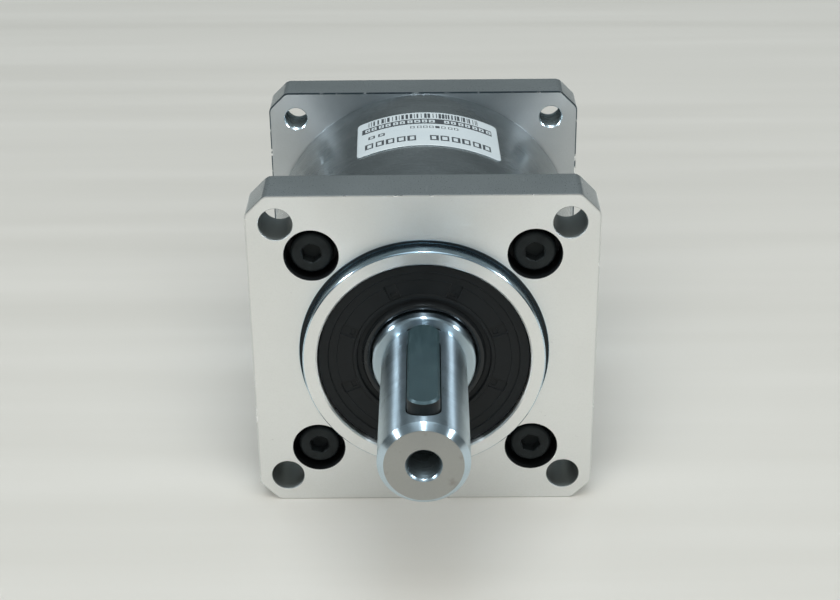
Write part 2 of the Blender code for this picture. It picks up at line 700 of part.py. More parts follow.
def make_output_shaft():
    shoulder = MIDDLE_BEARING[3] + MIDDLE_BEARING[2] + FACE_GAP
    shaft = turned(
        "output_shaft",
        [
            (0, -SHAFT_REACH),
            (SHAFT_RADIUS - SHAFT_CHAMFER, -SHAFT_REACH),
            (SHAFT_RADIUS, SHAFT_CHAMFER - SHAFT_REACH),
            (SHAFT_RADIUS, -SEAT_START),
            (SEAT_RADIUS - SEAT_CHAMFER, -SEAT_START),
            (SEAT_RADIUS, SEAT_CHAMFER - SEAT_START),
            (SEAT_RADIUS, RING_GROOVE_START),
            (SEAT_RADIUS - RING_GROOVE_DEPTH, RING_GROOVE_START),
            (SEAT_RADIUS - RING_GROOVE_DEPTH, FRONT_BEARING[3]),
            (SEAT_RADIUS, FRONT_BEARING[3]),
            (SEAT_RADIUS, shoulder),
            (SHOULDER_RADIUS, shoulder),
            (SHOULDER_RADIUS, PLATE_FRONT),
            (PLATE_RADIUS, PLATE_FRONT),
            (PLATE_RADIUS, PLATE_BACK),
            (0, PLATE_BACK),
        ],
        LARGE_STEPS, GROUND_STEEL, closed=False,
    )
    posts = bmesh.new()
    for angle in PLANET_ANGLES:
        bar(posts, POST_RADIUS, PLATE_BACK - OVERCUT, REAR_PLATE_FRONT - FACE_GAP,
            around(POST_CIRCLE, angle + math.pi / 3), SCREW_STEPS)
    boolean(shaft, finished("carrier_posts", posts, helper=True), "UNION")
    holes = bmesh.new()
    for angle in PLANET_ANGLES:
        bar(holes, PIN_RADIUS + FIT_GAP, PLATE_BACK - PIN_HOLE_DEPTH, PLATE_BACK + OVERCUT,
            around(CENTRE_DISTANCE, angle), SCREW_STEPS)
        bar(holes, POST_SCREW_RADIUS + FIT_GAP, REAR_PLATE_FRONT - POST_TAP_DEPTH, REAR_PLATE_FRONT + OVERCUT,
            around(POST_CIRCLE, angle + math.pi / 3), SCREW_STEPS)
    boolean(shaft, finished("carrier_holes", holes, helper=True))
    centre_hole = turned(
        "centre_hole",
        [
            (0, -SHAFT_REACH - OVERCUT),
            (CENTRE_HOLE_MOUTH, -SHAFT_REACH - OVERCUT),
            (CENTRE_HOLE_MOUTH, -SHAFT_REACH),
            (CENTRE_HOLE_RADIUS, MOUTH_DEPTH - SHAFT_REACH),
            (CENTRE_HOLE_RADIUS, CENTRE_HOLE_DEPTH - SHAFT_REACH),
            (0, CENTRE_HOLE_DEPTH + CENTRE_HOLE_TIP - SHAFT_REACH),
        ],
        SMALL_STEPS, closed=False, helper=True,
    )
    boolean(shaft, centre_hole)
    keyway = key_shape("keyway", KEY_WIDTH + 2 * FIT_GAP, KEY_LENGTH + 2 * FIT_GAP,
                       SHAFT_RADIUS - KEYWAY_DEPTH, SHAFT_RADIUS + OVERCUT, helper=True)
    boolean(shaft, keyway)
    key_floor = SHAFT_RADIUS - KEYWAY_DEPTH + FIT_GAP
    key = key_shape("shaft_key", KEY_WIDTH, KEY_LENGTH, key_floor, key_floor + KEY_HEIGHT, KEY_STEEL)
    edges = key.modifiers.new("edges", "BEVEL")
    edges.width = KEY_EDGE
    edges.segments = 1
    edges.limit_method = "ANGLE"
    edges.angle_limit = math.radians(50)


def key_shape(name, width, length, bottom, top, finish=None, helper=False):
    """A bar with round ends that stands on the shaft between two heights above the axis."""
    radius = width / 2
    half = length / 2 - radius
    turns = [math.pi * i / KEY_END_STEPS for i in range(KEY_END_STEPS + 1)]
    outline = [(radius * math.cos(a), half + radius * math.sin(a)) for a in turns]
    outline += [(-radius * math.cos(a), -half - radius * math.sin(a)) for a in turns]
    return prism(name, [outline], -top, -bottom, finish, helper=helper,
                 location=(0, 0, KEY_MIDDLE), rotation=(-math.pi / 2, 0, 0))


def make_retaining_ring():
    inner, outer, start, end = RETAINING_RING
    ring = turned("retaining_ring", ring_outline(outer, inner, start, end), SMALL_STEPS, GEAR_STEEL)
    gap = bmesh.new()
    block(gap, (RETAINING_GAP, outer, end - start + 2 * OVERCUT), (0, -outer, -(start + end) / 2))
    boolean(ring, finished("retaining_ring_gap", gap, helper=True))


def make_spacer():
    start = FRONT_BEARING[3] + FRONT_BEARING[2] + FACE_GAP
    outline = ring_outline(SPACER_RADIUS, SEAT_RADIUS + FIT_GAP, start, MIDDLE_BEARING[3] - FACE_GAP)
    turned("bearing_spacer", outline, SMALL_STEPS, GEAR_STEEL)


def make_rear_plate():
    centres = [around(CENTRE_DISTANCE, angle) for angle in PLANET_ANGLES]
    posts = [around(POST_CIRCLE, angle + math.pi / 3) for angle in PLANET_ANGLES]
    outlines = [circle(PLATE_RADIUS, LARGE_STEPS), circle(PLATE_BORE, SMALL_STEPS)]
    outlines += [circle(PIN_RADIUS + FIT_GAP, SCREW_STEPS, centre) for centre in centres]
    outlines += [circle(POST_SCREW_RADIUS + FIT_GAP, SCREW_STEPS, centre) for centre in posts]
    plate = prism("carrier_rear_plate", outlines, REAR_PLATE_FRONT, REAR_PLATE_BACK, GEAR_STEEL)
    recesses = bmesh.new()
    head_seat = REAR_PLATE_BACK - POST_HEAD_HEIGHT - FACE_GAP
    for centre in posts:
        bar(recesses, POST_HEAD_RADIUS + FACE_GAP, head_seat, REAR_PLATE_BACK + OVERCUT, centre, SCREW_STEPS)
    boolean(plate, finished("rear_plate_recesses", recesses, helper=True))
    for number, (x, y) in enumerate(posts, 1):
        turned(
            f"carrier_screw_{number}",
            [
                (0, -POST_HEAD_HEIGHT),
                (POST_HEAD_RADIUS, -POST_HEAD_HEIGHT),
                (POST_HEAD_RADIUS, 0),
                (POST_SCREW_RADIUS, 0),
                (POST_SCREW_RADIUS, POST_SCREW_LENGTH),
                (0, POST_SCREW_LENGTH),
            ],
            SCREW_STEPS, BLACK_STEEL, closed=False,
            location=(x, y, -head_seat - HEAD_LIFT), rotation=(math.pi, 0, 0),
        )


def make_planets():
    back = PLANET_FRONT + PLANET_WIDTH
    for number, angle in enumerate(PLANET_ANGLES, 1):
        x, y = around(CENTRE_DISTANCE, angle)
        teeth = gear_outline(PLANET_TEETH, ADDENDUM, DEDENDUM, TOOTH_THINNING, planet_phase(angle))
        prism(f"planet_gear_{number}", [teeth, circle(PLANET_BORE, SMALL_STEPS)],
              PLANET_FRONT, back, GEAR_STEEL, location=(x, y, 0))
        bush = ring_outline(PLANET_BORE - FIT_GAP, PIN_RADIUS + FIT_GAP,
                            PLANET_FRONT + BUSH_INSET, back - BUSH_INSET)
        turned(f"planet_bush_{number}", bush, SCREW_STEPS, BRASS, location=(x, y, 0))
        pin = bmesh.new()
        bar(pin, PIN_RADIUS, PLATE_BACK - PIN_INSET, REAR_PLATE_BACK - PIN_END_GAP, segments=SCREW_STEPS)
        finished(f"planet_pin_{number}", pin, BEARING_STEEL, location=(x, y, 0))
        for side, start in enumerate((FIRST_WASHER, SECOND_WASHER)):
            washer = ring_outline(WASHER_RADIUS, PIN_RADIUS + FIT_GAP, start, start + WASHER_THICKNESS)
            turned(f"thrust_washer_{2 * number - 1 + side}", washer, SCREW_STEPS, BRASS, location=(x, y, 0))


# ---------------------------------------------------------------- input side


def make_sun_gear():
    bearing_radius, bearing_start = INPUT_BEARING[0], INPUT_BEARING[3] - FACE_GAP
    bearing_end = INPUT_BEARING[3] + INPUT_BEARING[2] + FACE_GAP
    shoulder, shoulder_start = bearing_radius + BEARING_SHOULDER, RING_BACK
    teeth_back = PLANET_FRONT + PLANET_WIDTH + SUN_END
    hub_end = COLLAR_BACK + HUB_END_GAP
    hub = turned(
        "sun_gear_hub",
        [
            (0, teeth_back - SUN_ROOT_OVERLAP),
            (SUN_NECK_RADIUS, teeth_back - SUN_ROOT_OVERLAP),
            (SUN_NECK_RADIUS, shoulder_start),
            (shoulder, shoulder_start),
            (shoulder, bearing_start),
            (bearing_radius, bearing_start),
            (bearing_radius, bearing_end),
            (HUB_RADIUS, bearing_end),
            (HUB_RADIUS, hub_end - EDGE_BREAK),
            (HUB_RADIUS - EDGE_BREAK, hub_end),
            (0, hub_end),
        ],
        LARGE_STEPS, GEAR_STEEL, closed=False,
    )
    teeth = gear_outline(SUN_TEETH, ADDENDUM, DEDENDUM, TOOTH_THINNING, 0)
    boolean(hub, prism("sun_teeth", [teeth], PLANET_FRONT - SUN_END, teeth_back, helper=True), "UNION")
    bore = bmesh.new()
    bar(bore, HUB_BORE_RADIUS, MOTOR_BORE_START, hub_end + OVERCUT, segments=SMALL_STEPS)
    boolean(hub, finished("motor_shaft_bore", bore, helper=True))
    slit = bmesh.new()
    slit_start = hub_end - COLLAR_WIDTH
    block(slit, (COLLAR_SLIT, 3 * HUB_RADIUS, COLLAR_WIDTH + OVERCUT),
          (0, 0, -(slit_start + hub_end + OVERCUT) / 2))
    boolean(hub, finished("hub_slit", slit, helper=True))


def make_clamp():
    collar = turned(
        "clamp_collar",
        [
            (COLLAR_RADIUS - EDGE_BREAK, COLLAR_FRONT),
            (COLLAR_RADIUS, COLLAR_FRONT + EDGE_BREAK),
            (COLLAR_RADIUS, COLLAR_BACK - EDGE_BREAK),
            (COLLAR_RADIUS - EDGE_BREAK, COLLAR_BACK),
            (HUB_RADIUS + FIT_GAP, COLLAR_BACK),
            (HUB_RADIUS + FIT_GAP, COLLAR_FRONT),
        ],
        LARGE_STEPS, BLACK_STEEL,
    )
    slit = bmesh.new()
    block(slit, (COLLAR_SLIT, COLLAR_RADIUS, COLLAR_WIDTH + 2 * OVERCUT),
          (0, HUB_RADIUS - OVERCUT + COLLAR_RADIUS / 2, -COLLAR_MIDDLE))
    boolean(collar, finished("collar_slit", slit, helper=True))
    hole = bmesh.new()
    bar(hole, CLAMP_SCREW_RADIUS + FIT_GAP, -CLAMP_HEAD_SEAT - OVERCUT, CLAMP_TAP_END,
        segments=SCREW_STEPS, turn=access_turn())
    boolean(collar, finished("clamp_screw_hole", hole, helper=True))
    recess = bmesh.new()
    bar(recess, CLAMP_RECESS_RADIUS, -COLLAR_RADIUS, -CLAMP_HEAD_SEAT, segments=SCREW_STEPS, turn=access_turn())
    boolean(collar, finished("clamp_head_recess", recess, helper=True))
    socket_screw(
        "clamp_screw", CLAMP_SCREW_RADIUS, *CLAMP_HEAD, CLAMP_SCREW_LENGTH, *CLAMP_HEX, BLACK_STEEL,
        location=(CLAMP_HEAD_SEAT + HEAD_LIFT, CLAMP_HEIGHT, -COLLAR_MIDDLE), rotation=(0, math.pi / 2, 0),
    )


def make_access_plug():
    """The grub screw that closes the way to the clamp screw, on the +X side."""
    outside = -FLANGE_SIDE / 2
    plug = bmesh.new()
    bar(plug, PLUG_RADIUS, outside + PLUG_INSET, outside + PLUG_INSET + PLUG_LENGTH,
        segments=SCREW_STEPS, turn=access_turn())
    body = finished("access_plug", plug, BLACK_STEEL)
    socket = bmesh.new()
    bar(socket, PLUG_HEX[0], outside - OVERCUT, outside + PLUG_HEX[1], segments=6, turn=access_turn())
    boolean(body, finished("access_plug_socket", socket, helper=True))


# ---------------------------------------------------------------- label


def make_label():
    """A thin sheet laid round the top of the case, a little askew."""
    shape = bmesh.new()
    bmesh.ops.create_grid(shape, x_segments=LABEL_STEPS, y_segments=1, size=0.5)
    radius = CASE_RADIUS + LABEL_GAP
    for vertex in shape.verts:
        flat = Vector((vertex.co.x * LABEL_LENGTH, vertex.co.y * LABEL_WIDTH))
        flat.rotate(Matrix.Rotation(LABEL_TILT, 2))
        turn = LABEL_OFFSET + flat.x / radius
        vertex.co = (radius * math.sin(turn), radius * math.cos(turn), flat.y - LABEL_MIDDLE)
    mesh = bpy.data.meshes.new("label")
    shape.to_mesh(mesh)
    shape.free()
    label = place(bpy.data.objects.new("label", mesh), WHITE_LABEL)
    sheet = label.modifiers.new("sheet", "SOLIDIFY")
    sheet.thickness = LABEL_THICKNESS
    sheet.offset = -1


make_output_flange()
make_gear_case()
make_input_flange()
make_flange_screws()
make_bearings()
make_seals()
make_output_shaft()
make_retaining_ring()
make_spacer()
make_rear_plate()
make_planets()
make_sun_gear()
make_clamp()
make_access_plug()
make_label()
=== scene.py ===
"""Looks of the planetary gearbox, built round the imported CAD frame.

Pieces are modelled in the gearbox's own frame: Z is the shaft axis and points out of the output end,
Y points up, and Z = 0 is the front face of the output flange. A "depth" is the distance behind that face.
TO_WORLD then lays a piece down in the frame's world.
"""

import math
import random

import bmesh
import bpy
from mathutils import Matrix, Vector


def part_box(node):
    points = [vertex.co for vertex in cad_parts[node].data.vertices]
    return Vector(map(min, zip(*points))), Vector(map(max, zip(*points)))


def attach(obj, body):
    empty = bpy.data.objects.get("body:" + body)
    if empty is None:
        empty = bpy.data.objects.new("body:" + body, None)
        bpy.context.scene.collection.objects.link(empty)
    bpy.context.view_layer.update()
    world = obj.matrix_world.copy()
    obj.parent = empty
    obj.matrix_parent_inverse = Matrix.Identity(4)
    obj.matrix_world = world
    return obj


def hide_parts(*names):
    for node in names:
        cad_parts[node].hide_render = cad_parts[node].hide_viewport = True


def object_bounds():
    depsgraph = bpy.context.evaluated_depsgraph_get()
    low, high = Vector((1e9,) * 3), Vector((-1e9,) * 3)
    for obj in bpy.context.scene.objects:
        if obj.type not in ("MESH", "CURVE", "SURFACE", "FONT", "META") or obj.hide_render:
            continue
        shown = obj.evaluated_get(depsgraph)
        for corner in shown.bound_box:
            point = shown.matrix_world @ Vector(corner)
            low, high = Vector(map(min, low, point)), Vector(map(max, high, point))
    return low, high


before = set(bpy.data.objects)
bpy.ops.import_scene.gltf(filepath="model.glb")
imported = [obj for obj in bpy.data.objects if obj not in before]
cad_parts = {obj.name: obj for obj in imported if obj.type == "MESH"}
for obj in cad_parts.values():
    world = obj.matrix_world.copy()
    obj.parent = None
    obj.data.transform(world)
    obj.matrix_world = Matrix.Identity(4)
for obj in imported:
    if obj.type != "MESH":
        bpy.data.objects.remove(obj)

cad_low, cad_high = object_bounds()

MM = 0.001
FIT_GAP = 0.12 * MM  # round a piece in its seat
FACE_GAP = 0.2 * MM  # between two faces
LARGE, SMALL, FINE = 192, 64, 48  # sides of turned surfaces, from the large ones to the small holes
OVERCUT = 1.0 * MM  # how far a cutter reaches past the metal
EDGE = 0.15 * MM  # rounding of a machined edge
WELD = 0.001 * MM  # points nearer than this become one

FLANGE_SIDE = 57.0 * MM
FLANGE_THICKNESS = 8.6 * MM
FLANGE_CORNER = 3.3 * MM
INPUT_CORNER = 3.1 * MM
CORNER_BLEND = 0.6 * MM
EDGE_BREAK = 0.25 * MM
BOSS_RADIUS = 20.0 * MM
BOSS_HEIGHT = 3.0 * MM
BOSS_CHAMFER = 0.22 * MM
RELIEF_WIDTH = 0.62 * MM  # the groove round the boss's foot
RELIEF_DEPTH = 0.42 * MM
RELIEF_FOOT = 0.24 * MM
RELIEF_LIP = 0.10 * MM
MOUNT_SPACING = 47.14 * MM
MOUNT_HOLE_RADIUS = 2.75 * MM
SCREW_SPACING = 36.1 * MM
SCREW_RADIUS = 2.0 * MM
COUNTERBORE_RADIUS = 4.43 * MM
FRONT_COUNTERBORE = 5.1 * MM
REAR_COUNTERBORE = 4.5 * MM
THREAD_GAP = 0.15 * MM
SPIGOT_RADIUS = 21.9 * MM
SEAT_LIP = 1.5 * MM  # the shoulder between the two output bearings
FRONT_SEAT_BACK = 13.4 * MM
MIDDLE_SEAT_FRONT = 14.2 * MM
SEAT_END_LIP = 1.2 * MM
GROOVE_DEPTH = 1.2 * MM  # of an O-ring's groove
FRONT_GROOVE = (11.0 * MM, 12.6 * MM)
CASE_RADIUS = 28.2 * MM
CASE_FRONT = FLANGE_THICKNESS
CASE_BACK = 48.0 * MM
BODY_BACK = 55.3 * MM
REAR_GROOVE = (CASE_BACK - 4 * MM, CASE_BACK - 2.4 * MM)
PILOT_RADIUS = 19.1 * MM
PILOT_DEPTH = 2.0 * MM
CAVITY_RADIUS = 16.0 * MM
MOTOR_HOLE_RADIUS = 2.07 * MM
MOTOR_HOLE_LIP = 0.06 * MM
MOTOR_HOLE_MOUTH = 0.35 * MM
ACCESS_RADIUS = 1.92 * MM
ACCESS_MOUTH = 0.3 * MM

SHAFT_RADIUS = 7.0 * MM
SHAFT_REACH = 34.6 * MM
SEAT_RADIUS = 8.5 * MM
SEAT_START = 3.5 * MM
SEAT_CHAMFER = 0.3 * MM
UNDERCUT = 0.18 * MM  # in front of the shoulder
RING_GROOVE = (3.9 * MM, 5.2 * MM)  # of the retaining ring
RING_GROOVE_DEPTH = 0.5 * MM
INNER_COLLAR = 10.1 * MM
INNER_COLLAR_FRONT = 21.6 * MM
END_CHAMFER = 1.0 * MM
CENTRE_HOLE_RADIUS = 2.5 * MM
CENTRE_HOLE_MOUTH = 0.3 * MM
CENTRE_HOLE_DEPTH = 12 * MM
CENTRE_HOLE_TIP = 13.2 * MM
KEY_WIDTH = 5.0 * MM
KEY_LENGTH = 25.0 * MM
KEY_MIDDLE = 19.3 * MM
KEY_TOP = 9.12 * MM
KEY_FLOOR = 4.12 * MM
KEY_EDGE = 0.35 * MM
KEYWAY_FLOOR = 4.0 * MM
KEYWAY_GAP = 0.2 * MM

# Bearings: bore radius, outer radius, width, and the depth of the front side
FRONT_BEARING = (8.5 * MM, 17.5 * MM, 8.0 * MM, 5.2 * MM)
MIDDLE_BEARING = (8.5 * MM, 15.0 * MM, 7.0 * MM, 14.4 * MM)
INPUT_BEARING = (10.0 * MM, 13.5 * MM, 4.0 * MM, 42.5 * MM)

LABEL_SIZE = (25.5 * MM, 15.8 * MM)
LABEL_CORNER = 0.9 * MM
LABEL_CELLS = (170, 106)
LABEL_MIDDLE = 30.0 * MM
LABEL_OFFSET = math.radians(2.0)
LABEL_TILT = math.radians(-1.5)

MODULE = 0.8 * MM
SUN_TEETH, PLANET_TEETH, RING_TEETH = 12, 18, 48
PRESSURE_ANGLE = math.radians(25)
TOOTH_THINNING = 0.05 * MM
PLANET_ANGLES = [math.radians(90 + 120 * i) for i in range(3)]
CENTRE_DISTANCE = MODULE * (SUN_TEETH + PLANET_TEETH) / 2
PLATE_RADIUS = 17.9 * MM
PLATE_FRONT, PLATE_BACK = 22.4 * MM, 26.4 * MM
PLANET_FRONT, PLANET_BACK = 27.3 * MM, 37.3 * MM
REAR_PLATE_FRONT = 38.2 * MM
RING_FRONT, RING_BACK = 22.3 * MM, 41.7 * MM
POST_CIRCLE = 14.8 * MM
POST_RADIUS = 2.9 * MM
POST_SCREW = (1.62 * MM, 30.2 * MM, 39.2 * MM)  # radius, start and end of its hole
PIN_HOLE = (2.62 * MM, 23.6 * MM, 27.4 * MM)

COLLAR_RADIUS = 13.5 * MM
COLLAR_FRONT, COLLAR_BACK = 47.4 * MM, 53.2 * MM
COLLAR_MIDDLE = (COLLAR_FRONT + COLLAR_BACK) / 2
HUB_RADIUS = 7.0 * MM
CLAMP_HEIGHT = 10.2 * MM
MOTOR_BORE = 4 * MM
MOTOR_BORE_START = 43 * MM
MOTOR_BORE_MOUTH = 0.3 * MM
SLIT = 1.2 * MM

FACE_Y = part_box("output_flange")[0].y + BOSS_HEIGHT  # where depth 0 lies in the world
TO_WORLD = Matrix.Translation((0, FACE_Y, 0)) @ Matrix.Rotation(math.radians(90), 4, "X")

random.seed(57)


# ---------------- shapes


def around(radius, angle):
    return (radius * math.cos(angle), radius * math.sin(angle))


def circle(radius, count):
    return [around(radius, 2 * math.pi * i / count) for i in range(count)]


def lathe(outline, steps, closed=True, centre=(0, 0), wave=None):
    """Turns an outline of (radius, depth) points about the shaft axis, or an axis beside it."""
    shape = bmesh.new()
    rings = []
    for radius, depth in outline:
        ring = []
        for i in range(steps if radius else 1):
            angle = 2 * math.pi * i / steps
            x, y = around(radius + (wave(radius, depth, angle) if wave else 0), angle)
            ring.append(shape.verts.new((centre[0] + x, centre[1] + y, -depth)))
        rings.append(ring)
    pairs = list(zip(rings, rings[1:])) + ([(rings[-1], rings[0])] if closed else [])
    for upper, lower in pairs:
        for i in range(steps):
            j = (i + 1) % steps
            corners = dict.fromkeys((upper[i % len(upper)], upper[j % len(upper)],
                                     lower[j % len(lower)], lower[i % len(lower)]))
            if len(corners) > 2:
                shape.faces.new(list(corners))
    return shape


def solid(outline, steps, centre=(0, 0), wave=None):
    """Turns an outline that starts and ends on the axis."""
    return lathe(outline, steps, False, centre, wave)


def rounded(outline, radius, closed, parts=3):
    """The outline with its corners rounded, apart from those that are nearly straight or on the axis."""
    made = []
    for i, point in enumerate(outline):
        here = Vector(point)
        to_before = Vector(outline[i - 1]) - here
        to_after = Vector(outline[(i + 1) % len(outline)]) - here
        at_end = not closed and i in (0, len(outline) - 1)
        if at_end or not point[0] or to_before.angle(to_after) > math.radians(155):
            made.append(point)
            continue
        reach = min(radius, to_before.length * 0.45, to_after.length * 0.45)
        start = here + to_before.normalized() * reach
        end = here + to_after.normalized() * reach
        for part in range(parts + 1):
            t = part / parts
            made.append(tuple(start * (1 - t) ** 2 + here * 2 * t * (1 - t) + end * t * t))
    return made


def turned(outline, steps, closed=True, edge=EDGE):
    return lathe(rounded(outline, edge, closed), steps, closed)


def rod(radius, start, end, centre=(0, 0)):
    return solid([(0, start), (radius, start), (radius, end), (0, end)], FINE, centre)


def ring_cut(outer, inner, start, end):
    """A cutter for a groove round a turned piece."""
    return lathe([(outer + OVERCUT, start), (outer + OVERCUT, end), (inner, end), (inner, start)], LARGE)


def thread(radius, start, end, pitch, depth):
    """Outline points of a thread's crests and roots along a straight wall."""
    count = int((end - start) / pitch)
    points = []
    for i in range(count):
        points += [(radius, start + (i + 0.1) * pitch), (radius + depth, start + (i + 0.55) * pitch)]
    return points + [(radius, start + (count + 0.1) * pitch)]


def block(size, centre, edge=0.0, turn=None):
    """A box with its edges bevelled, then turned about the origin."""
    shape = bmesh.new()
    bmesh.ops.create_cube(shape, size=1, matrix=Matrix.Translation(centre) @ Matrix.Diagonal((*size, 1)))
    if edge:
        bmesh.ops.bevel(shape, geom=shape.edges[:], offset=edge, segments=2, profile=0.5, affect="EDGES")
    if turn is not None:
        bmesh.ops.transform(shape, matrix=turn, verts=shape.verts)
    return shape


def extruded(outline, start, end, edge=0.0):
    """A closed outline of (x, y) points, extruded between two depths, with chamfered end edges."""
    shape = bmesh.new()
    levels = [(start, 0), (end, 0)]
    if edge:
        levels = [(start, edge), (start + edge, 0), (end - edge, 0), (end, edge)]
    count = len(outline)
    rings = []
    for depth, inset in levels:
        ring = []
        for i, point in enumerate(outline):
            along = (Vector(outline[(i + 1) % count]) - Vector(outline[i - 1])).normalized()
            inward = Vector((-along.y, along.x)) * inset
            ring.append(shape.verts.new((point[0] + inward.x, point[1] + inward.y, -depth)))
        rings.append(ring)
    for upper, lower in zip(rings, rings[1:]):
        for i in range(count):
            j = (i + 1) % count
            shape.faces.new((upper[i], upper[j], lower[j], lower[i]))
    shape.faces.new(rings[0])
    shape.faces.new(rings[-1][::-1])
    return shape


def square_pattern(spacing):
    """The four corners of a square, anticlockwise from the top right."""
    half = spacing / 2
    return [(half, half), (-half, half), (-half, -half), (half, -half)]


def gear_outline(teeth, addendum, dedendum, thinning, phase, flank_points=6):
    """An involute gear's outline. The phase is the angle of one tooth's middle."""
    pitch = MODULE * teeth / 2
    base = pitch * math.cos(PRESSURE_ANGLE)
    tip, root = pitch + addendum, pitch - dedendum
    start = max(base, root)
    flank = []
    for step in range(flank_points + 1):
        radius = start + (tip - start) * step / flank_points
        pressure = math.acos(min(1, base / radius))
        half = math.pi / (2 * teeth) - thinning / pitch
        half += math.tan(PRESSURE_ANGLE) - PRESSURE_ANGLE - math.tan(pressure) + pressure
        flank.append((radius, half))
    if root < start:
        flank.insert(0, (root, flank[0][1] + 0.1 * math.pi / teeth))
    points = []
    for tooth in range(teeth):
        middle = phase + 2 * math.pi * tooth / teeth
        points += [around(radius, middle - half) for radius, half in flank]
        points += [around(radius, middle + half) for radius, half in reversed(flank)]
    return points


def placed(name, data):
    """A new object in the scene."""
    obj = bpy.data.objects.new(name, data)
    bpy.context.scene.collection.objects.link(obj)
    return obj


def loose(shape, name="loose"):
    """An object made of a bmesh, which is used up."""
    mesh = bpy.data.meshes.new(name)
    shape.to_mesh(mesh)
    shape.free()
    return placed(name, mesh)


def combined(base, *steps):
    """A bmesh joined with or cut by others. Each step is ("+" or "-", bmesh)."""
    bmesh.ops.recalc_face_normals(base, faces=base.faces)
    obj = loose(base)
    helpers = []
    for sign, shape in steps:
        bmesh.ops.recalc_face_normals(shape, faces=shape.faces)
        helper = loose(shape)
        helpers.append(helper)
        modifier = obj.modifiers.new("step", "BOOLEAN")
        modifier.operation = "UNION" if sign == "+" else "DIFFERENCE"
        modifier.solver = "EXACT"
        modifier.object = helper
    bpy.context.view_layer.update()
    mesh = bpy.data.meshes.new_from_object(obj.evaluated_get(bpy.context.evaluated_depsgraph_get()))
    for item in (obj, *helpers):
        bpy.data.objects.remove(item, do_unlink=True)
    shape = bmesh.new()
    shape.from_mesh(mesh)
    bpy.data.meshes.remove(mesh)
    bmesh.ops.remove_doubles(shape, verts=shape.verts, dist=WELD)
    return shape


def piece(name, shape, body, nodes, finishes, choose=None, turn=None):
    """Makes a piece of the object. choose(centre, normal) gives the number of a face's finish."""
    bmesh.ops.recalc_face_normals(shape, faces=shape.faces)
    if choose:
        for face in shape.faces:
            face.material_index = choose(face.calc_center_median(), face.normal)
    bmesh.ops.transform(shape, matrix=TO_WORLD if turn is None else TO_WORLD @ turn, verts=shape.verts)
    obj = loose(shape, name)
    for finish in finishes:
        obj.data.materials.append(finish)
    obj.data.shade_smooth()
    obj.data.set_sharp_from_angle(angle=math.radians(32))
    normals = obj.modifiers.new("normals", "WEIGHTED_NORMAL")
    normals.keep_sharp = True
    normals.weight = 80
    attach(obj, body)
    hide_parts(*nodes)
    return obj


# ---------------- finishes


def dimmed(colour, factor):
    return tuple(factor * c for c in colour)


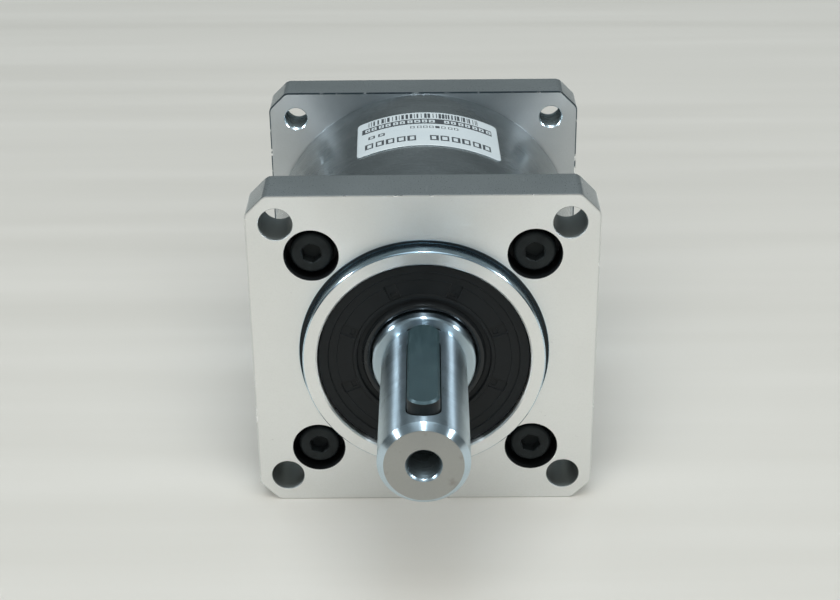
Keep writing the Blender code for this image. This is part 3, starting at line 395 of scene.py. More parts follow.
class Finish:
    """A Principled material and short ways to add nodes to it."""

    def __init__(self, name, metallic=1.0, **constants):
        self.material = bpy.data.materials.new(name)
        self.material.use_nodes = True
        self.tree = self.material.node_tree
        self.shader = self.tree.nodes["Principled BSDF"]
        self.shader.inputs["Metallic"].default_value = metallic
        for socket, value in constants.items():
            self.shader.inputs[socket.replace("_", " ")].default_value = value
        self.here = self.add("ShaderNodeTexCoord").outputs["Object"]

    def add(self, kind, inputs=None, **settings):
        """Adds a node. Each of its inputs is linked to another node's output, or given a value."""
        node = self.tree.nodes.new(kind)
        for name, value in settings.items():
            setattr(node, name, value)
        for socket, value in (inputs or {}).items():
            if isinstance(value, bpy.types.NodeSocket):
                self.tree.links.new(value, node.inputs[socket])
            else:
                node.inputs[socket].default_value = value
        return node

    def scaled(self, x, y=None, z=None):
        """The place on the object, with each axis multiplied by its own factor."""
        scale = (x, x if y is None else y, x if z is None else z)
        return self.add("ShaderNodeMapping", {"Vector": self.here, "Scale": scale}).outputs["Vector"]

    def noise(self, where, detail=3.0, roughness=0.55):
        inputs = {"Vector": where, "Scale": 1.0, "Detail": detail, "Roughness": roughness}
        return self.add("ShaderNodeTexNoise", inputs).outputs["Fac"]

    def level(self, value, low, high, start=0.3, end=0.7):
        """Maps a value between start and end to a number between low and high."""
        inputs = {"Value": value, "From Min": start, "From Max": end, "To Min": low, "To Max": high}
        return self.add("ShaderNodeMapRange", inputs).outputs["Result"]

    def mix(self, factor, first, second):
        first, second = [(*c, 1) if isinstance(c, tuple) else c for c in (first, second)]
        inputs = {0: factor, 6: first, 7: second}  # the factor, and the two colours
        return self.add("ShaderNodeMix", inputs, data_type="RGBA").outputs[2]

    def maths(self, operation, *values):
        return self.add("ShaderNodeMath", dict(enumerate(values)), operation=operation).outputs[0]

    def bump(self, height, distance, strength):
        inputs = {"Height": height, "Distance": distance, "Strength": strength}
        return self.add("ShaderNodeBump", inputs).outputs["Normal"]

    def radial(self, anisotropy):
        """Turning marks run round the shaft axis, so reflections spread across them."""
        self.shader.inputs["Anisotropic"].default_value = anisotropy
        self.shader.inputs["Anisotropic Rotation"].default_value = 0.25
        tangent = self.add("ShaderNodeTangent", direction_type="RADIAL", axis="Y")
        self.tree.links.new(tangent.outputs["Tangent"], self.shader.inputs["Tangent"])

    def set(self, **sockets):
        for name, value in sockets.items():
            self.tree.links.new(value, self.shader.inputs[name.replace("_", " ")])
        return self.material

    def from_axis(self):
        """The distance from the shaft axis, in metres."""
        flat = self.add("ShaderNodeVectorMath", {0: self.here, 1: (1, 0, 1)}, operation="MULTIPLY")
        return self.add("ShaderNodeVectorMath", {0: flat.outputs[0]}, operation="LENGTH").outputs["Value"]

    def along_axis(self, step):
        """Noise that changes only along the axis."""
        along = self.add("ShaderNodeSeparateXYZ", {"Vector": self.here}).outputs["Y"]
        inputs = {"W": self.maths("DIVIDE", along, step), "Detail": 3.0}
        return self.add("ShaderNodeTexNoise", inputs, noise_dimensions="1D").outputs["Fac"]

    def along_radius(self, step):
        """Coordinates that change along the radius only, one per step, for faces turned on a lathe."""
        radius = self.maths("DIVIDE", self.from_axis(), step)
        return self.add("ShaderNodeCombineXYZ", {"X": radius}).outputs["Vector"]

    def specks(self, size, share):
        """Sparse round marks, 1 inside a mark and 0 outside."""
        cells = self.add("ShaderNodeTexVoronoi", {"Vector": self.scaled(1 / size), "Scale": 1.0}).outputs
        near = self.level(cells["Distance"], 1.0, 0.0, 0.08, 0.2)
        chance = self.add("ShaderNodeSeparateColor", {"Color": cells["Color"]}).outputs["Red"]
        return self.maths("MULTIPLY", near, self.maths("LESS_THAN", chance, share))


def machined_face(name, dark, light, roughness, anisotropy):
    """Aluminium faced on a lathe: rings round the axis, fine grain and a few scuffs."""
    look = Finish(name)
    look.radial(anisotropy)
    cloud = look.noise(look.scaled(60), 4)
    grain = look.noise(look.scaled(3500), 2)
    rings = look.noise(look.along_radius(0.10 * MM), 2)
    colour = look.mix(look.level(cloud, 0.0, 1.0), dark, light)
    colour = look.mix(look.level(grain, 0.0, 0.10, 0.45, 0.75), colour, dimmed(dark, 0.7))
    scuff = look.level(look.noise(look.scaled(420, 420, 650), 4, 0.7), 0.0, 0.35, 0.70, 0.76)
    colour = look.mix(scuff, colour, dimmed(dark, 0.55))
    rough = look.level(look.mix(0.5, cloud, rings), roughness - 0.04, roughness + 0.05)
    return look.set(Base_Color=colour, Roughness=rough, Normal=look.bump(rings, 0.0008 * MM, 0.5))


def nicked_edge(name, tone):
    """A broken edge: dull, with short bright nicks where it has been knocked."""
    look = Finish(name)
    nick = look.level(look.noise(look.scaled(520), 3, 0.6), 0.0, 1.0, 0.60, 0.66)
    colour = look.mix(nick, tone, (0.95, 0.97, 0.98))
    return look.set(Base_Color=colour, Roughness=look.level(nick, 0.34, 0.16))


def satin_metal(name, dark, light, roughness, wear=0.25):
    """Milled metal with fine grain, soft stains and short light scratches."""
    look = Finish(name)
    cloud = look.noise(look.scaled(70), 5)
    grain = look.noise(look.scaled(4000), 3)
    colour = look.mix(look.level(cloud, 0.0, 1.0, 0.35, 0.65), dark, light)
    colour = look.mix(look.level(grain, 0.0, 0.25, 0.4, 0.8), colour, dimmed(dark, 0.7))
    scratch = look.level(look.noise(look.scaled(900, 120, 900), 2), 0.0, wear, 0.68, 0.74)
    colour = look.mix(scratch, colour, tuple(min(1, 1.4 * c) for c in light))
    rough = look.level(grain, roughness - 0.04, roughness + 0.06)
    return look.set(Base_Color=colour, Roughness=rough, Normal=look.bump(grain, 0.002 * MM, 0.5))


def turned_steel(name, dark, light, roughness, anisotropy, stain=(0.30, 0.28, 0.25)):
    """Steel turned or ground round the axis: very fine lines across it."""
    look = Finish(name)
    look.radial(anisotropy)
    lines = look.along_axis(0.07 * MM)
    cloud = look.noise(look.scaled(110, 160, 110), 4)
    colour = look.mix(look.level(cloud, 0.0, 1.0), dark, light)
    colour = look.mix(look.level(lines, 0.0, 0.26, 0.4, 0.8), colour, dimmed(dark, 0.5))
    colour = look.mix(look.maths("MULTIPLY", look.specks(1.6 * MM, 0.08), 0.3), colour, stain)
    rough = look.level(look.mix(0.4, lines, cloud), roughness - 0.03, roughness + 0.04)
    return look.set(Base_Color=colour, Roughness=rough)


def faced_end(name):
    """The faced end of the shaft, with soft brownish stains."""
    look = Finish(name)
    look.radial(0.5)
    cloud = look.noise(look.scaled(230), 4)
    grain = look.noise(look.scaled(2600), 3)
    colour = look.mix(cloud, (0.37, 0.375, 0.362), (0.43, 0.435, 0.42))
    stain = look.level(look.noise(look.scaled(330), 3), 0.0, 0.6, 0.62, 0.74)
    colour = look.mix(stain, colour, (0.25, 0.23, 0.20))
    colour = look.mix(look.level(grain, 0.0, 0.2, 0.4, 0.8), colour, (0.34, 0.33, 0.31))
    return look.set(Base_Color=colour, Roughness=look.level(cloud, 0.34, 0.44),
                    Normal=look.bump(grain, 0.0015 * MM, 0.5))


def drilled(name, tone, roughness=0.40):
    """The wall of a drilled or tapped hole."""
    look = Finish(name, metallic=0.9)
    rings = look.noise(look.scaled(300, 6000, 300), 3)
    colour = look.mix(rings, dimmed(tone, 0.75), tone)
    return look.set(Base_Color=colour, Roughness=look.level(rings, roughness, roughness + 0.15),
                    Normal=look.bump(rings, 0.003 * MM, 0.6))


def black_oxide(name, tone=0.011, roughness=0.40):
    """Blackened steel, nearly matt."""
    look = Finish(name, metallic=0.3, Specular_IOR_Level=0.25)
    grain = look.noise(look.scaled(5000), 3)
    cloud = look.noise(look.scaled(500), 3)
    dark, light = dimmed((0.8, 1.0, 1.1), tone), dimmed((1.5, 1.9, 2.0), tone)
    colour = look.mix(look.level(cloud, 0.0, 1.0), dark, light)
    return look.set(Base_Color=colour, Roughness=look.level(grain, roughness - 0.08, roughness + 0.1),
                    Normal=look.bump(grain, 0.005 * MM, 0.6))


def key_finish(name, dark, light, metallic, gloss=0.5):
    """Blued key steel, rubbed along its length. A near-black, matt copy of it paints the shade on the key's
    sides and in the keyway.
    """
    look = Finish(name, metallic=metallic, Specular_IOR_Level=gloss)
    rubbed = look.noise(look.scaled(2500, 260, 2500), 3)
    cloud = look.noise(look.scaled(300), 3)
    colour = look.mix(look.level(look.mix(0.5, rubbed, cloud), 0.0, 1.0), dark, light)
    return look.set(Base_Color=colour, Roughness=look.level(rubbed, 0.32, 0.48),
                    Normal=look.bump(rubbed, 0.002 * MM, 0.5))


def rubber(name, tone=1.0, roughness=0.42, gloss=0.2):
    """Moulded black rubber with a fine, uneven skin."""
    look = Finish(name, metallic=0.0, Specular_IOR_Level=gloss)
    fine = look.noise(look.scaled(6000), 3)
    cloud = look.noise(look.scaled(250), 4)
    colour = look.mix(cloud, dimmed((0.006, 0.007, 0.008), tone), dimmed((0.011, 0.013, 0.014), tone))
    rough = look.level(cloud, roughness - 0.06, roughness + 0.12)
    return look.set(Base_Color=colour, Roughness=rough, Normal=look.bump(fine, 0.004 * MM, 0.5))


BRIGHT_FACE = machined_face("bright_machined_aluminium", (0.86, 0.87, 0.86), (0.91, 0.92, 0.91), 0.31, 0.86)
GREY_FACE = machined_face("grey_machined_aluminium", (0.60, 0.63, 0.65), (0.70, 0.73, 0.75), 0.32, 0.92)
EDGE_METAL = nicked_edge("edge_aluminium", (0.72, 0.73, 0.72))
DARK_EDGE = nicked_edge("dark_edge_aluminium", (0.10, 0.13, 0.15))
SIDE_METAL = satin_metal("side_aluminium", (0.68, 0.71, 0.71), (0.78, 0.81, 0.81), 0.30)
# partly painted shade: the rough drilled wall is real, but its dark grey tone stands for the shade inside the
# through holes
HOLE_SHADE_METAL = drilled("drilled_aluminium_painted_shade", (0.38, 0.40, 0.39))
TAPPED_METAL = drilled("tapped_aluminium", (0.62, 0.70, 0.73), 0.22)
# painted shade: near-black aluminium for the counterbore walls and the relief groove's floor, standing for
# the shade inside these recesses
RECESS_SHADE_METAL = drilled("counterbore_painted_shade_aluminium", (0.045, 0.048, 0.05))
# painted reflection: a darker, blue-grey copy of the flange's aluminium for the boss wall and chamfer,
# standing for the cool overhead glow they reflect; the turning marks are real
WALL_SHEEN_METAL = turned_steel("turned_wall_aluminium_painted_sheen", (0.46, 0.58, 0.65), (0.56, 0.68, 0.75), 0.17, 0.6)
CASE_METAL = turned_steel("case_steel", (0.42, 0.45, 0.455), (0.48, 0.51, 0.515), 0.26, 0.5)
SHAFT_STEEL = turned_steel("shaft_steel", (0.48, 0.58, 0.64), (0.56, 0.66, 0.72), 0.28, 0.95)
END_STEEL = faced_end("shaft_end_steel")
# painted shade: steel darker than the shaft's, inside the tapped centre hole, standing for the shade in the
# hole
BORE_SHADE_STEEL = drilled("tapped_steel_painted_shade", (0.28, 0.34, 0.37), 0.24)
GEAR_STEEL = turned_steel("gear_steel", (0.44, 0.44, 0.45), (0.54, 0.54, 0.55), 0.32, 0.6)
BEARING_STEEL = turned_steel("bearing_steel", (0.62, 0.62, 0.64), (0.74, 0.74, 0.76), 0.2, 0.5)
BLACK_STEEL = black_oxide("black_oxide_steel")
KEY_STEEL = key_finish("key_steel", (0.032, 0.062, 0.074), (0.052, 0.092, 0.104), 0.35)
# painted shade: near-black, matt copy of the key steel for the key's sides and ends and the keyway's walls,
# darker than the top because less light falls there
KEY_SHADE_SIDE = key_finish("key_side_painted_shade_steel", (0.008, 0.011, 0.012), (0.015, 0.018, 0.020), 0.0, 0.15)
BRASS = satin_metal("brass", (0.60, 0.44, 0.18), (0.72, 0.55, 0.26), 0.3)
RUBBER = rubber("black_rubber")
LIP_RUBBER = rubber("greased_rubber", 1.4, 0.18, 0.35)


# ---------------- flanges and case


def plate(corner, start, end):
    """A square plate with chamfered corners and broken edges."""
    shape = block((FLANGE_SIDE, FLANGE_SIDE, end - start), (0, 0, -(start + end) / 2))

    def upright(edge):
        return abs(edge.verts[0].co.z - edge.verts[1].co.z) > MM

    for offset, segments in ((corner, 1), (CORNER_BLEND, 5)):
        bmesh.ops.bevel(shape, geom=[e for e in shape.edges if upright(e)], offset=offset,
                        segments=segments, profile=0.5, affect="EDGES")
    bmesh.ops.bevel(shape, geom=[e for e in shape.edges if not upright(e)], offset=EDGE_BREAK,
                    segments=2, profile=0.6, affect="EDGES")
    return shape


def mount_hole(centre):
    """A cutter for one of the output flange's through holes, which are chamfered."""
    radius, chamfer = MOUNT_HOLE_RADIUS, 0.07 * MM
    first, last = 0, FLANGE_THICKNESS
    start, end = first - OVERCUT, last + OVERCUT
    outline = [
        (0, start), (radius + chamfer + (first - start), start), (radius, first + chamfer),
        (radius, last - chamfer), (radius + chamfer + (end - last), end), (0, end),
    ]
    return solid(outline, SMALL, centre)


def counterbore(centre, mouth, floor, back):
    """A cutter for a screw's counterbore and the clearance hole behind it. back is beyond the plate."""
    sign = 1 if floor > mouth else -1
    shank, edge = SCREW_RADIUS + THREAD_GAP, 0.06 * MM
    outline = [
        (0, mouth - sign * OVERCUT), (COUNTERBORE_RADIUS + edge + OVERCUT, mouth - sign * OVERCUT),
        (COUNTERBORE_RADIUS, mouth + sign * edge), (COUNTERBORE_RADIUS, floor),
        (shank, floor), (shank, back), (0, back),
    ]
    return solid(outline, SMALL, centre)


def inside_hole(centre, spacing, radius):
    """Whether a face belongs to one of four holes on a square."""
    return any(math.hypot(centre.x - x, centre.y - y) < radius + 0.04 * MM
               for x, y in square_pattern(spacing))


TURNED, BROKEN, MILLED, DRILLED, SUNK_SHADE, WALL_SHEEN = range(6)  # a flange's finishes, in the order of its list


def plate_finish(front, back):
    """Chooses a face's finish on a flange whose faces lie at these depths."""

    def choose(centre, normal):
        depth = -centre.z
        if abs(normal.z) > 0.9 and (depth < front + 0.02 * MM or depth > back - 0.02 * MM):
            return TURNED
        # on the output flange the drilled hole walls get the dark painted shade
        if abs(normal.z) < 0.9 and inside_hole(centre, MOUNT_SPACING, MOUNT_HOLE_RADIUS + 0.1 * MM):
            return DRILLED
        from_axis = math.hypot(centre.x, centre.y)
        # the boss wall and chamfer get the blue-grey painted reflection
        if front == 0 and BOSS_RADIUS - 0.3 * MM < from_axis < BOSS_RADIUS + 0.8 * MM and depth < MM:
            # the relief groove's floor gets the near-black painted shade
            return SUNK_SHADE if depth > RELIEF_DEPTH - 0.06 * MM else WALL_SHEEN
        # counterbore faces get the near-black painted shade
        if inside_hole(centre, SCREW_SPACING, COUNTERBORE_RADIUS) and abs(normal.z) < 0.98 or (
                inside_hole(centre, SCREW_SPACING, COUNTERBORE_RADIUS - 0.3 * MM)):
            return SUNK_SHADE
        side, corner = max(abs(centre.x), abs(centre.y)), abs(centre.x) + abs(centre.y)
        if side > FLANGE_SIDE / 2 - 0.5 * MM or corner > FLANGE_SIDE - 4.5 * MM:
            return BROKEN if abs(normal.z) > 0.2 else MILLED
        return TURNED

    return choose


def make_output_flange():
    hub = turned([
        (0, -BOSS_HEIGHT), (BOSS_RADIUS - BOSS_CHAMFER, -BOSS_HEIGHT),
        (BOSS_RADIUS, BOSS_CHAMFER - BOSS_HEIGHT),
        (BOSS_RADIUS, FLANGE_THICKNESS / 2), (SPIGOT_RADIUS, FLANGE_THICKNESS / 2),
        (SPIGOT_RADIUS, PLATE_FRONT - 0.55 * MM), (SPIGOT_RADIUS - EDGE_BREAK, PLATE_FRONT - 0.3 * MM),
        (0, PLATE_FRONT - 0.3 * MM),
    ], LARGE, closed=False, edge=0.05 * MM)
    seat = FRONT_BEARING[1] + FIT_GAP
    rear_seat = MIDDLE_BEARING[1] + FIT_GAP
    mouth = 0.25 * MM
    bore = solid([
        (0, -BOSS_HEIGHT - OVERCUT), (seat + mouth + OVERCUT, -BOSS_HEIGHT - OVERCUT),
        (seat, mouth - BOSS_HEIGHT), (seat, FRONT_SEAT_BACK), (rear_seat - SEAT_LIP, FRONT_SEAT_BACK),
        (rear_seat - SEAT_LIP, MIDDLE_SEAT_FRONT), (rear_seat, MIDDLE_SEAT_FRONT),
        (rear_seat, PLATE_FRONT + OVERCUT),
        (0, PLATE_FRONT + OVERCUT),
    ], LARGE)
    inner, outer, floor = BOSS_RADIUS - 0.01 * MM, BOSS_RADIUS + RELIEF_WIDTH, RELIEF_DEPTH
    foot, lip = RELIEF_FOOT, RELIEF_LIP
    relief = [(inner, -OVERCUT), (outer + lip + OVERCUT, -OVERCUT), (outer + lip, 0),
              (outer + lip / 3, lip / 3), (outer, lip), (outer, floor), (inner + foot, floor)]
    relief += [(inner + foot * (1 - math.sin(a)), floor - foot * (1 - math.cos(a)))
               for a in (math.pi * i / 12 for i in range(1, 7))]
    groove = ring_cut(SPIGOT_RADIUS, SPIGOT_RADIUS - GROOVE_DEPTH, *FRONT_GROOVE)
    steps = [("+", hub), ("-", bore), ("-", lathe(relief, LARGE)), ("-", groove)]
    for centre in square_pattern(MOUNT_SPACING):
        steps.append(("-", mount_hole(centre)))
    for centre in square_pattern(SCREW_SPACING):
        steps.append(("-", counterbore(centre, 0, FRONT_COUNTERBORE, FLANGE_THICKNESS + OVERCUT)))
    shape = combined(plate(FLANGE_CORNER, 0, FLANGE_THICKNESS), *steps)
    piece("output_flange_visual", shape, "housing", ["output_flange"],
          [BRIGHT_FACE, EDGE_METAL, SIDE_METAL, HOLE_SHADE_METAL, RECESS_SHADE_METAL, WALL_SHEEN_METAL],
          plate_finish(0, FLANGE_THICKNESS))


def make_gear_case():
    socket = SPIGOT_RADIUS + FIT_GAP
    front, back = CASE_FRONT + FACE_GAP, CASE_BACK - FACE_GAP
    tip = MODULE * RING_TEETH / 2 - MODULE - 0.5 * MM
    body = turned([
        (CASE_RADIUS, front), (CASE_RADIUS, back), (socket, back), (socket, RING_BACK),
        (tip, RING_BACK), (tip, RING_FRONT), (socket, RING_FRONT), (socket, front),
    ], LARGE, edge=0.25 * MM)
    spaces = gear_outline(RING_TEETH, 1.25 * MODULE, MODULE, -TOOTH_THINNING, math.pi / RING_TEETH)
    steps = [("-", extruded(spaces, RING_FRONT - OVERCUT, RING_BACK + OVERCUT))]
    radius = SCREW_RADIUS - 0.2 * MM
    for centre in square_pattern(SCREW_SPACING):
        for start, end in ((front - OVERCUT, front + 8 * MM), (back - 7 * MM, back + OVERCUT)):
            screw_hole = [(0, start)] + thread(radius, start, end, 0.7 * MM, 0.35 * MM) + [(0, end)]
            steps.append(("-", solid(screw_hole, 24, centre)))
    piece("gear_case_visual", combined(body, *steps), "housing", ["gear_case"],
          [CASE_METAL])


def make_input_flange():
    start = RING_BACK + FACE_GAP
    spigot = turned([
        (0, start), (SPIGOT_RADIUS, start), (SPIGOT_RADIUS, CASE_BACK + 2 * MM), (0, CASE_BACK + 2 * MM),
    ], LARGE, closed=False)
    seat = INPUT_BEARING[1] + FIT_GAP
    seat_start, seat_end = INPUT_BEARING[3] - FACE_GAP, INPUT_BEARING[3] + INPUT_BEARING[2] + FACE_GAP
    bore = solid([
        (0, start - OVERCUT), (seat - SEAT_END_LIP, start - OVERCUT), (seat - SEAT_END_LIP, seat_start),
        (seat, seat_start), (seat, seat_end), (CAVITY_RADIUS, seat_end),
        (CAVITY_RADIUS, BODY_BACK - PILOT_DEPTH - EDGE), (CAVITY_RADIUS + EDGE, BODY_BACK - PILOT_DEPTH),
        (PILOT_RADIUS, BODY_BACK - PILOT_DEPTH), (PILOT_RADIUS, BODY_BACK - EDGE_BREAK),
        (PILOT_RADIUS + EDGE_BREAK + OVERCUT, BODY_BACK + OVERCUT), (0, BODY_BACK + OVERCUT),
    ], LARGE)
    groove = ring_cut(SPIGOT_RADIUS, SPIGOT_RADIUS - GROOVE_DEPTH, *REAR_GROOVE)
    steps = [("+", spigot), ("-", bore), ("-", groove)]
    lip, edge = MOTOR_HOLE_LIP, MOTOR_HOLE_MOUTH
    for centre in square_pattern(MOUNT_SPACING):
        outline = [(0, CASE_BACK - OVERCUT), (MOTOR_HOLE_RADIUS + lip + OVERCUT, CASE_BACK - OVERCUT)]
        outline += thread(MOTOR_HOLE_RADIUS, CASE_BACK + lip, BODY_BACK - 2 * edge, 0.8 * MM, 0.4 * MM)
        outline += [(MOTOR_HOLE_RADIUS, BODY_BACK - edge),
                    (MOTOR_HOLE_RADIUS + edge + OVERCUT, BODY_BACK + OVERCUT), (0, BODY_BACK + OVERCUT)]
        steps.append(("-", solid(outline, FINE, centre)))
    for centre in square_pattern(SCREW_SPACING):
        steps.append(("-", counterbore(centre, BODY_BACK, BODY_BACK - REAR_COUNTERBORE, CASE_BACK - OVERCUT)))
    outside = -FLANGE_SIDE / 2
    access = solid([
        (0, outside - OVERCUT), (ACCESS_RADIUS + ACCESS_MOUTH + OVERCUT, outside - OVERCUT),
        (ACCESS_RADIUS, ACCESS_MOUTH + outside), (ACCESS_RADIUS, -CAVITY_RADIUS / 2),
        (0, -CAVITY_RADIUS / 2),
    ], FINE)
    bmesh.ops.transform(access, matrix=across(), verts=access.verts)
    steps.append(("-", access))
    shape = combined(plate(INPUT_CORNER, CASE_BACK, BODY_BACK), *steps)
    piece("input_flange_visual", shape, "housing", ["input_flange"],
          [GREY_FACE, DARK_EDGE, SIDE_METAL, TAPPED_METAL, RECESS_SHADE_METAL], plate_finish(CASE_BACK, BODY_BACK))


def across():
    """Takes the Z axis to the clamp screw's axis, which runs along X."""
    return Matrix.Translation((0, CLAMP_HEIGHT, -COLLAR_MIDDLE)) @ Matrix.Rotation(math.radians(90), 4, "Y")


# ---------------- screws


def socket_screw(name, node, body, radius, head, length, socket, place, pitch=0.7 * MM):
    """A socket head cap screw. head is (radius, height), socket is (across flats, depth)."""
    head_radius, height = head
    teeth = 36

    def knurl(at, depth, angle):
        """Straight knurling on the head's side."""
        if at < head_radius - 0.02 * MM or not -height < depth < 0:
            return 0
        return -0.07 * MM * (0.5 - 0.5 * math.cos(teeth * angle))

    outline = [
        (0, -height), (head_radius - 0.5 * MM, -height), (head_radius - 0.38 * MM, 0.04 * MM - height),
        (head_radius - 0.1 * MM, 0.3 * MM - height), (head_radius, 0.5 * MM - height),
        (head_radius, -0.35 * MM), (head_radius - 0.1 * MM, 0), (radius, 0),
        (radius, 0.6 * MM), *thread(radius - 0.36 * MM, 0.8 * MM, length - 0.8 * MM, pitch, 0.34 * MM),
        (radius - 0.5 * MM, length), (0, length),
    ]
    shape = solid(outline, teeth * 4, wave=knurl)
    corner = socket[0] / math.sqrt(3)
    turn = 2 * math.pi * sum(map(ord, name)) / 97
    outline = [around(corner, turn + math.pi * i / 3) for i in range(6)]
    hexagon = extruded(outline, -height - OVERCUT, socket[1] - height)
    cone = solid([
        (0, -height - OVERCUT), (corner + OVERCUT, -height - OVERCUT),
        (corner - 0.12 * MM, 0.12 * MM - height), (0, 0.12 * MM - height),
    ], FINE)
    point = solid([
        (0, socket[1] - height - 0.1 * MM), (socket[0] * 0.46, socket[1] - height - 0.1 * MM),
        (socket[0] * 0.46, socket[1] - height), (0, socket[1] - height + 0.5 * MM),
    ], FINE)
    shape = combined(shape, ("-", hexagon), ("-", cone), ("-", point))
    piece(name, shape, body, [node], [BLACK_STEEL], turn=place)


def make_screws():
    over = Matrix.Rotation(math.pi, 4, "X")
    for number, (x, y) in enumerate(square_pattern(SCREW_SPACING), 1):
        front = Matrix.Translation((x, y, FACE_GAP - FRONT_COUNTERBORE))
        rear = Matrix.Translation((x, y, REAR_COUNTERBORE - BODY_BACK - FACE_GAP)) @ over
        for side, place, length in (("front", front, 10 * MM), ("rear", rear, 8 * MM)):
            socket_screw(f"{side}_screw_{number}_visual", f"{side}_screw_{number}", "housing", SCREW_RADIUS,
                         (3.5 * MM, 4.0 * MM), length, (3.0 * MM, 2.0 * MM), place)


# ---------------- seal and shaft


def make_seal():
    front = 1.0 * MM - BOSS_HEIGHT
    outer, lip = FRONT_BEARING[1], SEAT_RADIUS + FIT_GAP
    profile = [  # (inwards from the outside, back from the front), in millimetres, round the whole section
        (0, 0.30), (0.12, 0.08), (0.35, 0.0), (1.45, 0.0), (1.62, 0.06), (1.75, 0.30), (3.05, 0.34),
        (3.15, 0.44), (5.70, 0.46), (5.82, 0.30), (6.05, 0.26), (6.35, 0.32), (6.50, 0.95), (7.20, 1.0),
        (7.42, 0.50), (7.60, 0.22), (7.90, 0.10), (8.25, 0.16), (8.55, 0.40), (8.76, 0.80), (8.85, 1.1),
        (8.30, 3.0), (8.88, 4.0), (8.30, 4.6), (6.70, 4.6), (6.30, 1.8), (1.20, 1.8), (1.20, 7.0), (0.2, 7.0),
        (0, 6.8),
    ]
    body = lathe([(outer - inset * MM, front + depth * MM) for inset, depth in profile], LARGE)
    steps = []
    for i in range(8):
        turn = Matrix.Rotation(math.radians(22.5 + 45 * i), 4, "Z")  # plain sunk marks, one every 45 degrees
        steps.append(("-", block((2.9 * MM, 2.0 * MM, 1.0 * MM), (13.15 * MM, 0, -front - 0.2 * MM),
                                 0.25 * MM, turn)))
        steps.append(("-", block((0.9 * MM, 1.1 * MM, 1.0 * MM), (12.6 * MM, 0, -front - 0.35 * MM),
                                 0.15 * MM, turn)))
    piece("output_seal_visual", combined(body, *steps), "housing", ["output_seal"],
          [RUBBER, LIP_RUBBER], lambda centre, normal: int(math.hypot(centre.x, centre.y) < 10.3 * MM))


def key_outline(width, length):
    """A bar with round ends, anticlockwise."""
    radius, half = width / 2, (length - width) / 2
    turns = [math.pi * i / 20 for i in range(21)]
    points = [(radius * math.cos(a), half + radius * math.sin(a)) for a in turns]
    return points + [(-radius * math.cos(a), -half - radius * math.sin(a)) for a in turns]


KEY_TURN = Matrix.Translation((0, 0, KEY_MIDDLE)) @ Matrix.Rotation(-math.pi / 2, 4, "X")


